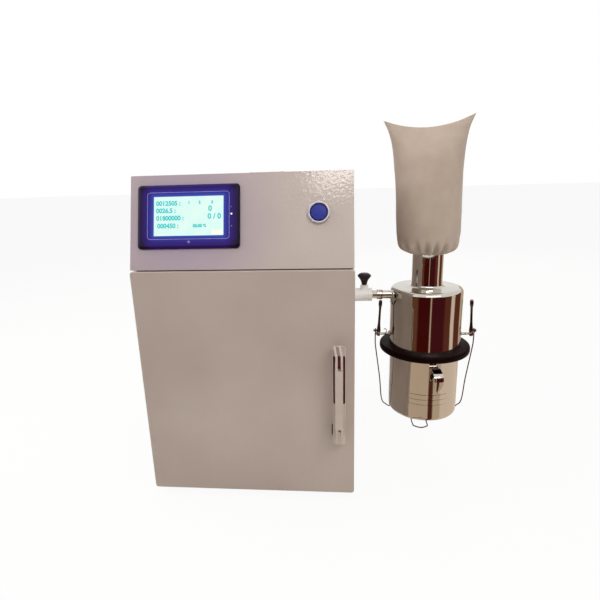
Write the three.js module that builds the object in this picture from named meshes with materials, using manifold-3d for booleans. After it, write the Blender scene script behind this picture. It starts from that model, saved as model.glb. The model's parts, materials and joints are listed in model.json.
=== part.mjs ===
// Hammer cyclone mill: a bench cabinet with a hopper, a screw feeder and a high-speed hammer mill,
// and a cyclone collector with its filter bag and sample cup, plugged into the cabinet's right wall.
// Millimetres. +X is to the right, +Y runs from the front to the back, +Z is up.

import * as THREE from "three";
import { mergeVertices } from "three/addons/utils/BufferGeometryUtils.js";
import { ConvexGeometry } from "three/addons/geometries/ConvexGeometry.js";
import Module from "manifold-3d";

const wasm = await Module();
wasm.setup();

// General sizes
const sheet = 1.5; // sheet metal of the cabinet
const plate = 3; // heavier plate that carries the mill
const fitGap = 0.3; // between pieces that seat on one another
const runGap = 0.5; // between pieces that move past one another
const overrun = 2; // how far a cutting shape runs past what it cuts
const mergeTolerance = 0.0005;
const quarterTurn = Math.PI / 2;

// Cabinet
const cabinetWidth = 300;
const cabinetDepth = 380;
const footHeight = 12;
const footRadius = 14;
const footInset = 40;
const shellFlange = 12; // returned edge round each opening of the shell
const seamGap = 1.6; // between the door and the control panel
const ventCount = 7; // slots in the base plate
const ventPitch = 16;
const ventWidth = 5;
const ventLength = 60;
const coverInset = 4; // rear cover
const coverCorner = 4;
const louvreWidth = 64;
const louvrePitch = 11;
const louvreHeight = 4;
const louvreRoundShare = 0.48;
const louvreCount = 8;
const louvreX = 62;
const louvreLow = 160;
const footWaistShare = 0.82; // radius of a foot's sole
const footRoundShare = 0.25; // height of its round edge
const footNeckShare = 0.9;
const panelLength = 128.3; // control panel, measured up its slope
const panelSetback = 2; // the panel's lower edge stands this far behind the door's face
const panelTilt = THREE.MathUtils.degToRad(16.4);

// Door
const doorHeight = 335;
const doorDepth = 20;
const doorOverlap = 0.8; // the door is this much wider than the cabinet on each side
const doorCorner = 3;
const doorEdge = 1;
const doorGap = 0.6; // between the door and the cabinet's front
const foamThickness = 9;
const foamInset = 26;
const hingeRadius = 2.6;
const hingePinRadius = 1.3;
const hingeHalf = 8; // length of each of a hinge's two knuckles
const hingeLeafLength = 14;
const hingeFromFoot = 48;
const hingeFromTop = 49;
const hingeMiddleDrop = 5.9; // the middle hinge sits this far below the door's middle

// Door handle, a swing handle on a long base
const handleInset = 20.4; // the handle's axis from the cabinet's right side
const handleBaseLow = 80;
const handleBaseHigh = 221;
const handleBaseWidth = 17.8;
const handleBaseDepth = 12;
const handleBaseRim = 2;
const handleBaseCorner = 4;
const handlePocketLow = 150;
const handleAxisZ = 112;
const handleShaftRadius = 5;
const handleDiscRadius = 6.8;
const handleDiscDepth = 4.7;
const handleBarWidth = 10;
const handleBarDepth = 8;
const handleBarLow = 99.5;
const handleBarBend = 227; // where the bar starts to lean back to the door
const handleBarTop = 240.5;
const handleFront = 30; // the bar's front face stands this far before the door
const handleTongue = 3;
const handleSlot = 3.8;
const handleSlotTop = 122;
const handleUpperSlotLow = 207;
const handleUpperSlotTop = 231;
const handlePinRadius = 1.5;
const handlePinDepth = 25.5; // the lift pin's distance before the door
const camLength = 16;
const camWidth = 12;
const camThickness = 3;
const camRoundShare = 0.9; // of the cam's half width

// Touch screen on the control panel; x is from the panel's middle, s is up its slope
const screenUnitInset = 11.5; // from the panel's left edge
const screenUnitDrop = 57.3; // its middle below the panel's upper edge
const bezelWidth = 139;
const bezelHeight = 86;
const bezelProud = 5;
const bezelCorner = 4;
const displayWidth = 95;
const displayHeight = 52.8;
const displayShiftX = 0.5; // from the unit's middle
const displayShiftS = 0.6;
const displaySunk = 1;
const displayThickness = 1.6;
const screenHousingWidth = 126;
const screenHousingHeight = 76;
const screenHousingDepth = 30;
const screenHousingStep = 8;

// Start button
const buttonInset = 45.6; // from the panel's right edge
const buttonRise = 2; // above the screen unit's middle
const buttonBezelRadius = 14.7;
const buttonBezelProud = 5;
const buttonBezelRound = 1.6;
const buttonWellRadius = 11.9;
const buttonCapRadius = 10.6;
const buttonBodyRadius = 10.9;
const buttonBodyDepth = 34;
const buttonTravel = 2.5;
const buttonStemRadius = 8;
const buttonCollarSunk = 1.6; // the black collar's front behind the bezel's
const buttonCapSunk = 1;
const buttonCapCrown = 0.8;
const capShoulderShare = 0.8;
const capRiseShare = 0.7;

// Hopper, under a lid in the cabinet's top
const hopperWidth = 104;
const hopperLength = 58;
const hopperY = 112;
const hopperStraight = 34; // height of the hopper's upright upper part
const hopperSeatShare = 0.9; // of the feed tube's radius
const throatWidth = 20;
const throatLength = 46;
const lidBarrelRadius = 1.8;
const lidBarrelLength = 44;
const lidTrunnionRadius = 1;
const lidEarWidth = 4;

// Screw feeder
const feedDrop = 20.6; // the feeder's axis below the seam
const feedTubeRadius = 15;
const feedTubeWall = 2;
const feedTubeNose = 16; // the tube's closed end before the spout's axis
const throatCutShare = 0.85; // of the tube's radius
const feedScrewRadius = 12.2;
const feedCoreRadius = 4;
const feedPitch = 20;
const feedFlight = 2.4; // thickness of the screw's flight
const flightTipShare = 0.7;
const spindleShare = 0.8;
const spoutRadius = 11;
const spoutReach = 24; // the spout's axis before the mill
const spoutLength = 47;
const feedMotorRadius = 17;
const feedGearLength = 26;
const feedMotorLength = 46;
const feedGearShare = 0.9;
const feedMotorShare = 0.9;
const feedBossShare = 0.35;

// Hammer mill, all of it round one axis along Y
const millX = 20;
const millFeedGap = 2; // between the mill's flange and the feed tube
const bayDepth = 53.4; // room between the cabinet's front and the mill
const millDepth = 71.7;
const millRadius = 66;
const millWall = 6;
const millFlangeWidth = 8;
const millFlangeDepth = 8;
const millEarRadius = 9;
const studOffset = 5; // the studs' circle outside the drum
const studAngles = [-90, 30, 150];
const studRadius = 3;
const coverThickness = 9;
const ductOuter = 8;
const ductBore = 6.4;
const ductY = 98;
const ductInset = 0.6; // the duct's bore below the chamber's roof
const screenMargin = 10; // between the screen and the chamber's wall
const screenThickness = 1.6;
const screenHoleRadius = 2.2;
const screenHoleCount = 14; // holes in one row round the screen
const screenRows = 3;
const rotorDisc = 6;
const rotorBack = 12; // from the mill's back wall to the back of the rotor
const hubRadius = 15;
const rotorFrontGap = 10.7; // room before the rotor's nut
const hammerCount = 4;
const hammerGap = 4; // between a hammer's tip and the screen
const hammerProud = 6; // a hammer's tip outside the disc
const hammerSetback = 4; // a hammer's front behind the hub's
const hammerNotchShare = 0.7; // of the disc's radius
const hammerWidth = 11;
const shaftRadius = 7.5;
const shaftNoseShare = 0.7;
const rotorNutRadius = 12;
const rotorNutLength = 9;
const knobRadius = 11;
const knobLength = 15;
const knobValleyShare = 0.86;
const knobHubShare = 0.6;
const chuteHalfWidth = 14;
const chuteDrop = 8; // the chute's mouth below the spout
const chuteReach = 29; // how far the chute stands before the cover
const chuteWall = 1.5;
const inletRadius = 14;
const probeRadius = 3;
const probeReach = 1; // the probe's tip inside the chamber
const probeHexRadius = 7;
const probeLeadShare = 0.8;

// Bearings, coupling and motor behind the bulkhead
const housingRadius = 27;
const housingFlangeRadius = 39;
const housingFlange = 6;
const housingLength = 60;
const bearingRadius = 17.5;
const bearingWidth = 11;
const bearingGroove = 1;
const couplingRadius = 20;
const couplingLength = 36;
const couplingSplit = 1.6;
const couplingScrewHead = 3.5;
const motorRadius = 56;
const motorFinDepth = 5;
const motorFins = 16;
const motorCouplingGap = 6; // between the coupling and the motor
const motorBackGap = 6; // between the motor and the cabinet's back
const motorBell = 14;
const motorCowl = 22;
const motorNeckShare = 0.35;
const cowlEndShare = 0.8;
const terminalHalfShare = 0.4; // of the motor's radius
const terminalFromShare = 0.2; // of the core's length
const terminalToShare = 0.8;
const standWidth = 96;
const standTopShare = 0.5;

// Electrical parts
const driveHeight = 150; // the motor drive fills the room that these gaps leave
const driveSideGap = 12;
const driveStandGap = 14;
const driveFrontGap = 29;
const driveBackGap = 86;
const driveFins = 7;
const fanSize = 80;
const fanDepth = 25;
const fanInset = 76; // the fan's axis from the cabinet's left side
const fanRise = 35.4; // the fan's axis above the seam
const fanCorner = 6;
const fanWall = 2;
const fanWeb = 3; // depth of the struts
const fanStrutHalf = 2;
const fanPinRadius = 2;
const fanHubRadius = 17;
const fanBlades = 5;
const fanBladeHalf = 1;
const fanBladeChordShare = 0.5; // of the hub's radius
const fanBladeTwist = 0.6;
const fanGrilleInset = 5;
const fanGrilleBars = 5;
const inletInset = 46; // the inlet's middle from the cabinet's left side
const inletZ = 58;
const inletWidth = 27.5;
const inletHeight = 20;
const inletLip = 3;
const inletDepth = 24;
const inletWall = 2.5;
const inletPinHalf = 1;

// Collector; its pieces are placed from the cyclone's upright axis
const canReach = 114.1; // the axis from the cabinet's right side
const roundShare = 0.3; // how far in a round corner's middle stands, of its size
const weldBead = 1.2;
const canRadius = 54;
const canWall = 1.2;
const canTop = 288;
const canShoulder = 7;
const rimGap = 2.4; // from the cup's rim up to the can's skirt
const rimRadius = 63.5; // the flanges of the can and of the cup
const chimneyRadius = 22.75;
const chimneyRise = 72; // above the can
const chimneyDip = 48; // below the can's top
const pipeRadius = 6.3;
const pipeBore = 5.3;
const pipeOffset = 12; // the inlet pipe enters this far before the can's axis
const pipeZ = 278;
const pipeInsert = 10; // the pipe starts this far from the cabinet's side
const ferruleRadius = 7.6;
const ferruleReach = 38; // from the cabinet's side
const ferruleLength = 8;
const ferruleChamfer = 1.5;
const saddleRadius = 11;
const ringDrop = 5.4; // the ring's lower edge below the cup's rim
const ringHeight = 10.5;
const ringRadius = 68.75;
const ringRound = 2.6;
const cupRadius = 53;
const cupBottom = 85.5;
const cupCorner = 7;
const cupRimTop = 192.4;
const beadCount = 3;
const beadLow = 115.1;
const beadPitch = 8.2;
const beadHeight = 3;
const beadDepth = 0.7;
const gripAngle = THREE.MathUtils.degToRad(7);
const gripWidth = 13.5;
const gripThickness = 1.8;
const gripDrop = 11; // the grip's top below the ring
const gripKneeDrop = 8; // its knee and its tip below its top
const gripTipDrop = 32;
const gripReach = 22;
const gripRootShare = 1.2; // of the grip's width, down from its top
const gripFlatShare = 0.35; // of its reach
const gripRoundFromShare = 0.7; // of its length
const gripTipShare = 0.2; // of its width

// Outlet socket and its clamp knob
const socketFlange = 34;
const socketFlangeThickness = 4;
const socketRadius = 10;
const socketLength = 30;
const clampBossRadius = 6;
const clampBossLength = 15; // from the duct's axis
const clampReach = 18.7; // from the cabinet's side
const clampScrewRadius = 2.4;
const clampHeadRadius = 10;
const clampHeadHeight = 10;
const clampHubRadius = 4;
const clampHubHeight = 8;
const clampWaistShare = 1.2; // of the hub's radius
// The head's radius and height, as shares of its own
const clampHeadShares = [[0.92, 0.2], [1, 0.45], [0.85, 0.85], [0.5, 1]];

// Toggle levers and the wire bail
const pivotRise = 24; // the levers' pivots above the ring's lower edge
const pivotRadius = 2;
const pivotPadShare = 2.4;
const leverX = 71.5;
const leverThickness = 4;
const leverLength = 55;
const leverLean = THREE.MathUtils.degToRad(2.6);
const leverConeRadius = 3.3;
const leverRodRadius = 1.9;
const leverKnobRadius = 2.8;
const leverHubShare = 2.1; // of the pivot's radius
const leverRoot = 1; // the rod starts this far outside the pivot
const leverConeRise = 3; // heights of its cone above the crank pin
const leverTaperRise = 13;
const leverConeShare = 0.9;
const leverKnobLengthShare = 4; // of the barrel end's radius
// The barrel end's radius and depth below the tip, as shares of its own
const leverKnobShares = [[1, 0.7], [1, 0.15], [0.6, 0]];
const crank = 5;
const crankAngle = THREE.MathUtils.degToRad(10); // behind the top when the lever stands up
const crankPinRadius = 1.6;
const crankHubShare = 1.9;
const crankHeadShare = 1.6;
const wireRadius = 0.9;
const bailX = 76.2;
const bailBow = 4;
const crankPinTip = 79.4;
const tabX = -11.6;
const tabRadius = 11;
const tabReach = 66;
const tabRoundShare = 0.7;

// Filter bag
const bagNeckDrop = 21; // the bag's neck below the chimney's top
const bagSocketDepth = 23;
const bagHeight = 177;
const bagHalfWidth = 46;
const bagEarLift = 12;
const bagSlant = 4.5;
const bagLean = -6;
// Heights up the bag, and the half width and half depth there, as shares
const bagHeightShares = [0, 0.03, 0.07, 0.12, 0.2, 0.35, 0.55, 0.74, 0.85, 0.93, 1];
const bagWidthShares = [0.56, 0.78, 0.9, 0.97, 1, 1.01, 1.02, 1.06, 1.14, 1.25, 1.41];
const bagDepthShares = [0.56, 0.76, 0.88, 0.95, 0.98, 0.97, 0.92, 0.78, 0.58, 0.33, 0.05];
const bagSides = 24;

// Finishes
function finish(color, roughness, metalness) {
  return new THREE.MeshStandardMaterial({ color, roughness, metalness });
}
const greyPaint = finish(0xb9ada5, 0.45, 0.1);
const polishedSteel = finish(0xb8b0a4, 0.12, 1);
const brushedSteel = finish(0xa9a7a3, 0.35, 1);
const castAluminium = finish(0xa8abad, 0.55, 0.8);
const blackRubber = finish(0x1a1214, 0.6, 0);
const blackPlastic = finish(0x1b1a20, 0.5, 0);
const bluePlastic = finish(0x1c2f8f, 0.35, 0);
const screenGlass = finish(0xa8d8ec, 0.15, 0);
const greyFoam = finish(0x3c3c40, 0.95, 0);
const beigeCloth = finish(0xcdbfb2, 0.9, 0);
const motorPaint = finish(0x55616b, 0.5, 0.2);

// Joins and cuts
function solidOf(geometry) {
  const bare = geometry.clone();
  bare.deleteAttribute("normal");
  bare.deleteAttribute("uv");
  const merged = mergeVertices(bare, mergeTolerance);
  const corners = merged.index.array;
  const kept = [];
  for (let i = 0; i < corners.length; i += 3) {
    const [a, b, c] = [corners[i], corners[i + 1], corners[i + 2]];
    if (a !== b && b !== c && c !== a) kept.push(a, b, c);
  }
  const vertProperties = merged.attributes.position.array;
  return new wasm.Manifold(new wasm.Mesh({ numProp: 3, vertProperties, triVerts: new Uint32Array(kept) }));
}

function geometryOf(solid) {
  const mesh = solid.getMesh();
  const geometry = new THREE.BufferGeometry();
  geometry.setAttribute("position", new THREE.BufferAttribute(mesh.vertProperties, 3));
  geometry.setIndex(new THREE.BufferAttribute(mesh.triVerts, 1));
  return geometry;
}

function join(...geometries) {
  return geometryOf(geometries.map(solidOf).reduce((whole, next) => whole.add(next)));
}

function cut(body, ...tools) {
  return geometryOf(tools.map(solidOf).reduce((whole, tool) => whole.subtract(tool), solidOf(body)));
}

function common(one, other) {
  return geometryOf(solidOf(one).intersect(solidOf(other)));
}

// Shapes
// A box between two corners.
function box(low, high) {
  const [width, depth, height] = high.map((value, i) => value - low[i]);
  const [x, y, z] = high.map((value, i) => (value + low[i]) / 2);
  return new THREE.BoxGeometry(width, depth, height).translate(x, y, z);
}

// Turns what was built along +Z to lie along +X or +Y.
function lay(geometry, axis) {
  if (axis === "x") return geometry.rotateX(quarterTurn).rotateZ(quarterTurn);
  if (axis === "y") return geometry.rotateX(-quarterTurn);
  return geometry;
}

// A round bar from one point along an axis.
function rod(axis, radius, start, length, sides = 20) {
  const bar = new THREE.CylinderGeometry(radius, radius, length, sides).rotateX(quarterTurn);
  return lay(bar.translate(0, 0, length / 2), axis).translate(...start);
}

// A body of revolution round an axis. Each point is a radius and a height, in either sense of rotation.
function turned(axis, points, sides, start = [0, 0, 0]) {
  const ring = points.map(([radius, height]) => new THREE.Vector2(radius, height));
  if (THREE.ShapeUtils.isClockWise(ring)) ring.reverse();
  ring.push(ring[0].clone());
  const body = new THREE.LatheGeometry(ring, sides).rotateX(quarterTurn);
  return lay(body, axis).translate(...start);
}

function tubeProfile(outer, inner, low, high) {
  return [
    [inner, low],
    [outer, low],
    [outer, high],
    [inner, high],
  ];
}

// An outline pushed along an axis. Along X its points are y and z, along Y they are x and z.
function prism(axis, shape, from, to, curveSegments = 4) {
  const body = new THREE.ExtrudeGeometry(shape, { depth: to - from, bevelEnabled: false, curveSegments });
  if (axis === "x") return lay(body.translate(0, 0, from), "x");
  if (axis === "y") return body.translate(0, 0, -to).rotateX(quarterTurn);
  return body.translate(0, 0, from);
}

function outline(points) {
  return new THREE.Shape(points.map(([x, y]) => new THREE.Vector2(x, y)));
}

function roundedRectangle(left, bottom, right, top, radius) {
  const shape = new THREE.Shape();
  shape.moveTo(left + radius, bottom);
  shape.lineTo(right - radius, bottom);
  shape.absarc(right - radius, bottom + radius, radius, -quarterTurn, 0);
  shape.lineTo(right, top - radius);
  shape.absarc(right - radius, top - radius, radius, 0, quarterTurn);
  shape.lineTo(left + radius, top);
  shape.absarc(left + radius, top - radius, radius, quarterTurn, 2 * quarterTurn);
  shape.lineTo(left, bottom + radius);
  shape.absarc(left + radius, bottom + radius, radius, 2 * quarterTurn, 3 * quarterTurn);
  return shape;
}

// A tapering box between two rectangles at two heights.
function taper(x, y, lowWidth, lowLength, low, highWidth, highLength, high) {
  const corners = [];
  for (const [width, length, z] of [
    [lowWidth, lowLength, low],
    [highWidth, highLength, high],
  ]) {
    for (const [sx, sy] of [[-1, -1], [1, -1], [1, 1], [-1, 1]]) {
      corners.push(new THREE.Vector3(x + (sx * width) / 2, y + (sy * length) / 2, z));
    }
  }
  return new ConvexGeometry(corners);
}

// A skin over rings of points, closed at both ends.
function loft(rings) {
  const count = rings[0].length;
  const positions = rings.flat().flatMap((point) => point.toArray());
  const index = [];
  for (let ring = 0; ring + 1 < rings.length; ring += 1) {
    for (let i = 0; i < count; i += 1) {
      const a = ring * count + i;
      const b = ring * count + ((i + 1) % count);
      index.push(a, b, b + count, a, b + count, a + count);
    }
  }
  for (const [ring, turn] of [[0, -1], [rings.length - 1, 1]]) {
    const middle = new THREE.Vector3();
    rings[ring].forEach((point) => middle.addScaledVector(point, 1 / count));
    const centre = positions.length / 3;
    positions.push(...middle.toArray());
    for (let i = 0; i < count; i += 1) {
      const a = ring * count + i;
      const b = ring * count + ((i + 1) % count);
      if (turn > 0) index.push(a, b, centre);
      else index.push(b, a, centre);
    }
  }
  const skin = new THREE.BufferGeometry();
  skin.setAttribute("position", new THREE.Float32BufferAttribute(positions, 3));
  skin.setIndex(index);
  return skin;
}

// A round wire along a smooth curve through points.
function wire(points, radius, sides, steps) {
  const section = outline(around(sides, (angle) => [radius * Math.cos(angle), radius * Math.sin(angle)]));
  const corners = points.map((point) => new THREE.Vector3(...point));
  const path = new THREE.CatmullRomCurve3(corners, false, "centripetal");
  return new THREE.ExtrudeGeometry(section, {
    steps,
    bevelEnabled: false,
    extrudePath: path,
  });
}

function around(count, make) {
  return Array.from({ length: count }, (_, i) => make((i / count) * 4 * quarterTurn, i));
}

function piece(group, name, geometry, material) {
  const faces = geometry.index ? geometry.toNonIndexed() : geometry;
  faces.computeVertexNormals();
  const mesh = new THREE.Mesh(faces, material.clone());
  mesh.name = name;
  group.add(mesh);
  return mesh;
}

// Places that several pieces share
const halfWidth = cabinetWidth / 2;
const bodyFront = doorDepth + doorGap;
const seamZ = doorHeight + seamGap;
const bodyTop = seamZ + panelLength * Math.cos(panelTilt);
const slope = Math.tan(panelTilt);
const baseTop = sheet + fitGap + sheet;
const millFront = bodyFront + bayDepth;
const millBack = millFront + millDepth;
const bulkheadFront = millBack + fitGap;
const bulkheadBack = bulkheadFront + plate;
const bulkheadTop = seamZ - plate;
const hingeY = doorDepth + doorGap / 2;
const hingeX = -halfWidth - doorOverlap;
const hingeHeights = [hingeFromFoot, doorHeight / 2 - hingeMiddleDrop, doorHeight - hingeFromTop];
const handleX = halfWidth - handleInset;
const screenUnitX = -halfWidth + screenUnitInset + bezelWidth / 2;
const screenUnitS = panelLength - screenUnitDrop;
const displayX = screenUnitX + displayShiftX;
const displayS = screenUnitS + displayShiftS;
const buttonX = halfWidth - buttonInset;
const buttonS = screenUnitS + buttonRise;
const chamberFloor = millBack - millWall;
const chamberRadius = millRadius - millWall;
const millFlangeRadius = millRadius + millFlangeWidth;
const millStudCircle = millRadius + studOffset;
const screenRadius = chamberRadius - screenMargin;
const hammerReach = screenRadius - hammerGap;
const rotorRadius = hammerReach - hammerProud;
const hubLength = millDepth - millWall - rotorBack - rotorNutLength - rotorFrontGap;
const hammerDepth = hubLength - hammerSetback;
const feedAxisZ = seamZ - feedDrop;
const millZ = feedAxisZ - feedTubeRadius - millFeedGap - millFlangeRadius;
const ductZ = millZ + chamberRadius - ductBore - ductInset;
const spoutY = millFront - spoutReach;
const spoutLow = feedAxisZ - spoutLength;
const chuteMouth = spoutLow - chuteDrop;
const feedTubeFront = spoutY - feedTubeNose;
const hopperX = millX;
const couplingFront = bulkheadBack + housingLength + 2 * sheet;
const motorFront = couplingFront + couplingLength + motorCouplingGap;
const motorCore = cabinetDepth - motorBackGap - motorFront - 2 * motorBell - motorCowl;
const fanX = -halfWidth + fanInset;
const fanZ = seamZ + fanRise;
const inletX = -halfWidth + inletInset;
const canX = halfWidth + canReach;
const canY = ductY + pipeOffset;
const pipeStart = halfWidth + pipeInsert - canX;
const canSkirt = cupRimTop + rimGap;
const ringLow = cupRimTop - ringDrop;
const gripTop = ringLow - gripDrop;
const gripKneeZ = gripTop - gripKneeDrop;
const gripTipZ = gripTop - gripTipDrop;
const pivotZ = ringLow + pivotRise;
const chimneyTop = canTop + chimneyRise;
const chimneyBottom = canTop - chimneyDip;
const bagNeckZ = chimneyTop - bagNeckDrop;
const ferruleFrom = halfWidth + ferruleReach - canX;
const clampX = halfWidth + clampReach;

const machine = new THREE.Group();
const cabinet = new THREE.Group();
cabinet.position.z = footHeight;
machine.add(cabinet);
const panelGroup = new THREE.Group();
panelGroup.position.set(0, panelSetback, seamZ);
panelGroup.rotation.x = -panelTilt;
cabinet.add(panelGroup);
panelGroup.updateMatrix();
const door = new THREE.Group();
cabinet.add(door);
const mill = new THREE.Group();
mill.position.set(millX, 0, millZ);
cabinet.add(mill);
const collector = new THREE.Group();
collector.position.set(canX, canY, ductZ - pipeZ);
cabinet.add(collector);

// Cabinet shell: sides, top and front edges in one folded sheet, with a returned edge round each opening
function shellProfile(inset) {
  const nose = panelSetback + (sheet + fitGap) / Math.cos(panelTilt) + inset / Math.cos(panelTilt);
  const low = inset > 0 ? inset : 0;
  const front = bodyFront + inset;
  const seam = seamZ + inset;
  const top = bodyTop - inset;
  const back = cabinetDepth - inset;
  return outline([
    [front, low],
    [back, low],
    [back, top],
    [nose + (top - seamZ) * slope, top],
    [nose + (seam - seamZ) * slope, seam],
    [front, seam],
  ]);
}

function cabinetShell() {
  const outer = prism("x", shellProfile(0), -halfWidth, halfWidth);
  const inner = prism("x", shellProfile(sheet), -halfWidth + sheet, halfWidth - sheet);
  const edge = halfWidth - shellFlange;
  const doorway = box(
    [-edge, bodyFront - overrun, shellFlange],
    [edge, bodyFront + sheet + overrun, seamZ - shellFlange],
  );
  const panelHole = box([-edge, 0, shellFlange], [edge, shellFlange, panelLength - shellFlange]).applyMatrix4(
    panelGroup.matrix,
  );
  const back = box(
    [-edge, cabinetDepth - sheet - overrun, shellFlange],
    [edge, cabinetDepth + overrun, bodyTop - shellFlange],
  );
  const floor = box(
    [-edge, bodyFront + shellFlange, -overrun],
    [edge, cabinetDepth - shellFlange, sheet + overrun],
  );
  const mouth = hopperBox(fitGap, bodyTop - sheet - overrun, bodyTop + overrun);
  const outletStart = [halfWidth - sheet - overrun, ductY, ductZ];
  const outlet = rod("x", ductOuter + fitGap, outletStart, sheet + 2 * overrun);
  const notches = hingeHeights.map((z) =>
    box(
      [-halfWidth - overrun, bodyFront - overrun, z - hingeHalf - overrun],
      [-halfWidth + sheet + 2 * hingeRadius, bodyFront + sheet + 2 * hingeRadius, z + hingeHalf + overrun],
    ),
  );
  const shell = cut(outer, inner, doorway, panelHole, back, floor, mouth, outlet, ...notches);
  return join(shell, ...lidEars(), ...hingePins());
}

// The hopper's mouth as a box that is larger than the lid by a margin.
function hopperBox(margin, low, high) {
  const halfX = hopperWidth / 2 + margin;
  const halfY = hopperLength / 2 + margin;
  return box([hopperX - halfX, hopperY - halfY, low], [hopperX + halfX, hopperY + halfY, high]);
}

const lidHingeY = hopperY + hopperLength / 2 + fitGap + lidBarrelRadius;
const lidHingeZ = bodyTop + fitGap + lidBarrelRadius;

// Two ears welded to the top, which hold the lid's trunnions
function lidEars() {
  return [-1, 1].map((side) => {
    const middle = hopperX + side * (lidBarrelLength / 2 + fitGap + lidEarWidth / 2);
    const ear = box(
      [middle - lidEarWidth / 2, lidHingeY - lidBarrelRadius, bodyTop - sheet / 2],
      [middle + lidEarWidth / 2, lidHingeY + 2 * lidBarrelRadius, lidHingeZ + lidBarrelRadius],
    );
    const boreStart = [middle - lidEarWidth, lidHingeY, lidHingeZ];
    const bore = rod("x", lidTrunnionRadius + fitGap, boreStart, 2 * lidEarWidth, 12);
    return cut(ear, bore);
  });
}

function controlPanel() {
  const face = prism("y", roundedRectangle(-halfWidth, 0, halfWidth, panelLength, sheet), 0, sheet);
  const halfX = screenHousingWidth / 2 + fitGap;
  const halfS = screenHousingHeight / 2 + fitGap;
  const window = box(
    [screenUnitX - halfX, -overrun, screenUnitS - halfS],
    [screenUnitX + halfX, sheet + overrun, screenUnitS + halfS],
  );
  const hole = rod("y", buttonBodyRadius + fitGap, [buttonX, -overrun, buttonS], sheet + 2 * overrun, 24);
  return cut(face, window, hole);
}

function basePlate() {
  const side = halfWidth - sheet - fitGap;
  const front = bodyFront + sheet + fitGap;
  const back = cabinetDepth - sheet - fitGap;
  const low = sheet + fitGap;
  const tray = box([-side, front, low], [side, back, low + shellFlange]);
  const hollow = box(
    [-side + sheet, front + sheet, low + sheet],
    [side - sheet, back - sheet, low + shellFlange + overrun],
  );
  const slots = [];
  const [halfSlot, halfReach] = [ventWidth / 2, ventLength / 2];
  for (let i = 0; i < ventCount; i += 1) {
    const x = (i - (ventCount - 1) / 2) * ventPitch;
    const y = cabinetDepth / 2;
    slots.push(box([x - halfSlot, y - halfReach, 0], [x + halfSlot, y + halfReach, low + 2 * sheet]));
  }
  return cut(tray, hollow, ...slots);
}

function rearCover() {
  const side = halfWidth - coverInset;
  const front = cabinetDepth + fitGap;
  const shape = roundedRectangle(-side, coverInset, side, bodyTop - coverInset, coverCorner);
  const cover = prism("y", shape, front, front + sheet);
  const holes = [];
  const from = cabinetDepth - overrun;
  const through = sheet + 2 * overrun;
  for (let i = 0; i < louvreCount; i += 1) {
    const z = louvreLow + i * louvrePitch;
    const [left, right] = [louvreX - louvreWidth / 2, louvreX + louvreWidth / 2];
    const slot = roundedRectangle(left, z, right, z + louvreHeight, louvreHeight * louvreRoundShare);
    holes.push(prism("y", slot, from, from + through, 1));
  }
  const grilleRadius = fanSize / 2 - fanGrilleInset;
  const barPitch = (2 * grilleRadius) / fanGrilleBars;
  for (let i = 0; i < fanGrilleBars; i += 1) {
    const z = fanZ - grilleRadius + (i + 0.5) * barPitch;
    const reach = Math.sqrt(grilleRadius ** 2 - (z - fanZ) ** 2);
    holes.push(box([fanX - reach, from, z - barPitch / 3], [fanX + reach, from + through, z + barPitch / 3]));
  }
  const halfX = inletWidth / 2 + fitGap;
  const halfZ = inletHeight / 2 + fitGap;
  holes.push(box([inletX - halfX, from, inletZ - halfZ], [inletX + halfX, from + through, inletZ + halfZ]));
  return cut(cover, ...holes);
}

function foot() {
  const profile = [
    [0, 0],
    [footRadius * footWaistShare, 0],
    [footRadius, footHeight * footRoundShare],
    [footRadius * footNeckShare, footHeight + sheet],
    [0, footHeight + sheet],
  ];
  return turned("z", profile, 14, [0, 0, -footHeight]);
}

// The bulkhead carries the mill and closes the grinding bay towards the motor
function bulkhead() {
  const side = halfWidth - 2 * sheet - 3 * fitGap;
  const wall = box([-side, bulkheadFront, baseTop + fitGap], [side, bulkheadBack, bulkheadTop]);
  const from = bulkheadFront - overrun;
  const through = plate + 2 * overrun;
  const shaftHole = rod("y", shaftRadius + 4 * runGap, [millX, from, millZ], through);
  const feedHole = rod("y", feedCoreRadius + 4 * runGap, [millX, from, feedAxisZ], through);
  return cut(wall, shaftHole, feedHole);
}

piece(cabinet, "cabinet_shell", cabinetShell(), greyPaint);
piece(cabinet, "base_plate", basePlate(), brushedSteel);
piece(cabinet, "rear_cover", rearCover(), greyPaint);
piece(cabinet, "mill_bulkhead", bulkhead(), greyPaint);
for (const [name, x, y] of [
  ["foot_front_left", -halfWidth + footInset, bodyFront + footInset],
  ["foot_front_right", halfWidth - footInset, bodyFront + footInset],
  ["foot_rear_left", -halfWidth + footInset, cabinetDepth - footInset],
  ["foot_rear_right", halfWidth - footInset, cabinetDepth - footInset],
]) {
  piece(cabinet, name, foot(), blackRubber).position.set(x, y, 0);
}

// Control panel with the touch screen and the start button, in the panel's own sloping frame
function screenUnit() {
  const halfX = bezelWidth / 2;
  const halfS = bezelHeight / 2;
  const [left, right] = [screenUnitX - halfX, screenUnitX + halfX];
  const shape = roundedRectangle(left, screenUnitS - halfS, right, screenUnitS + halfS, bezelCorner);
  const frame = prism("y", shape, -bezelProud, -fitGap);
  const halfWindowX = displayWidth / 2;
  const halfWindowS = displayHeight / 2;
  const low = displaySunk + displayThickness + fitGap - bezelProud;
  const window = box(
    [displayX - halfWindowX, -bezelProud - overrun, displayS - halfWindowS],
    [displayX + halfWindowX, low, displayS + halfWindowS],
  );
  return cut(join(frame, ...screenHousing()), window);
}

function display() {
  const halfX = displayWidth / 2 - fitGap;
  const halfS = displayHeight / 2 - fitGap;
  const front = displaySunk - bezelProud;
  const back = front + displayThickness;
  return box([displayX - halfX, front, displayS - halfS], [displayX + halfX, back, displayS + halfS]);
}

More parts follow.
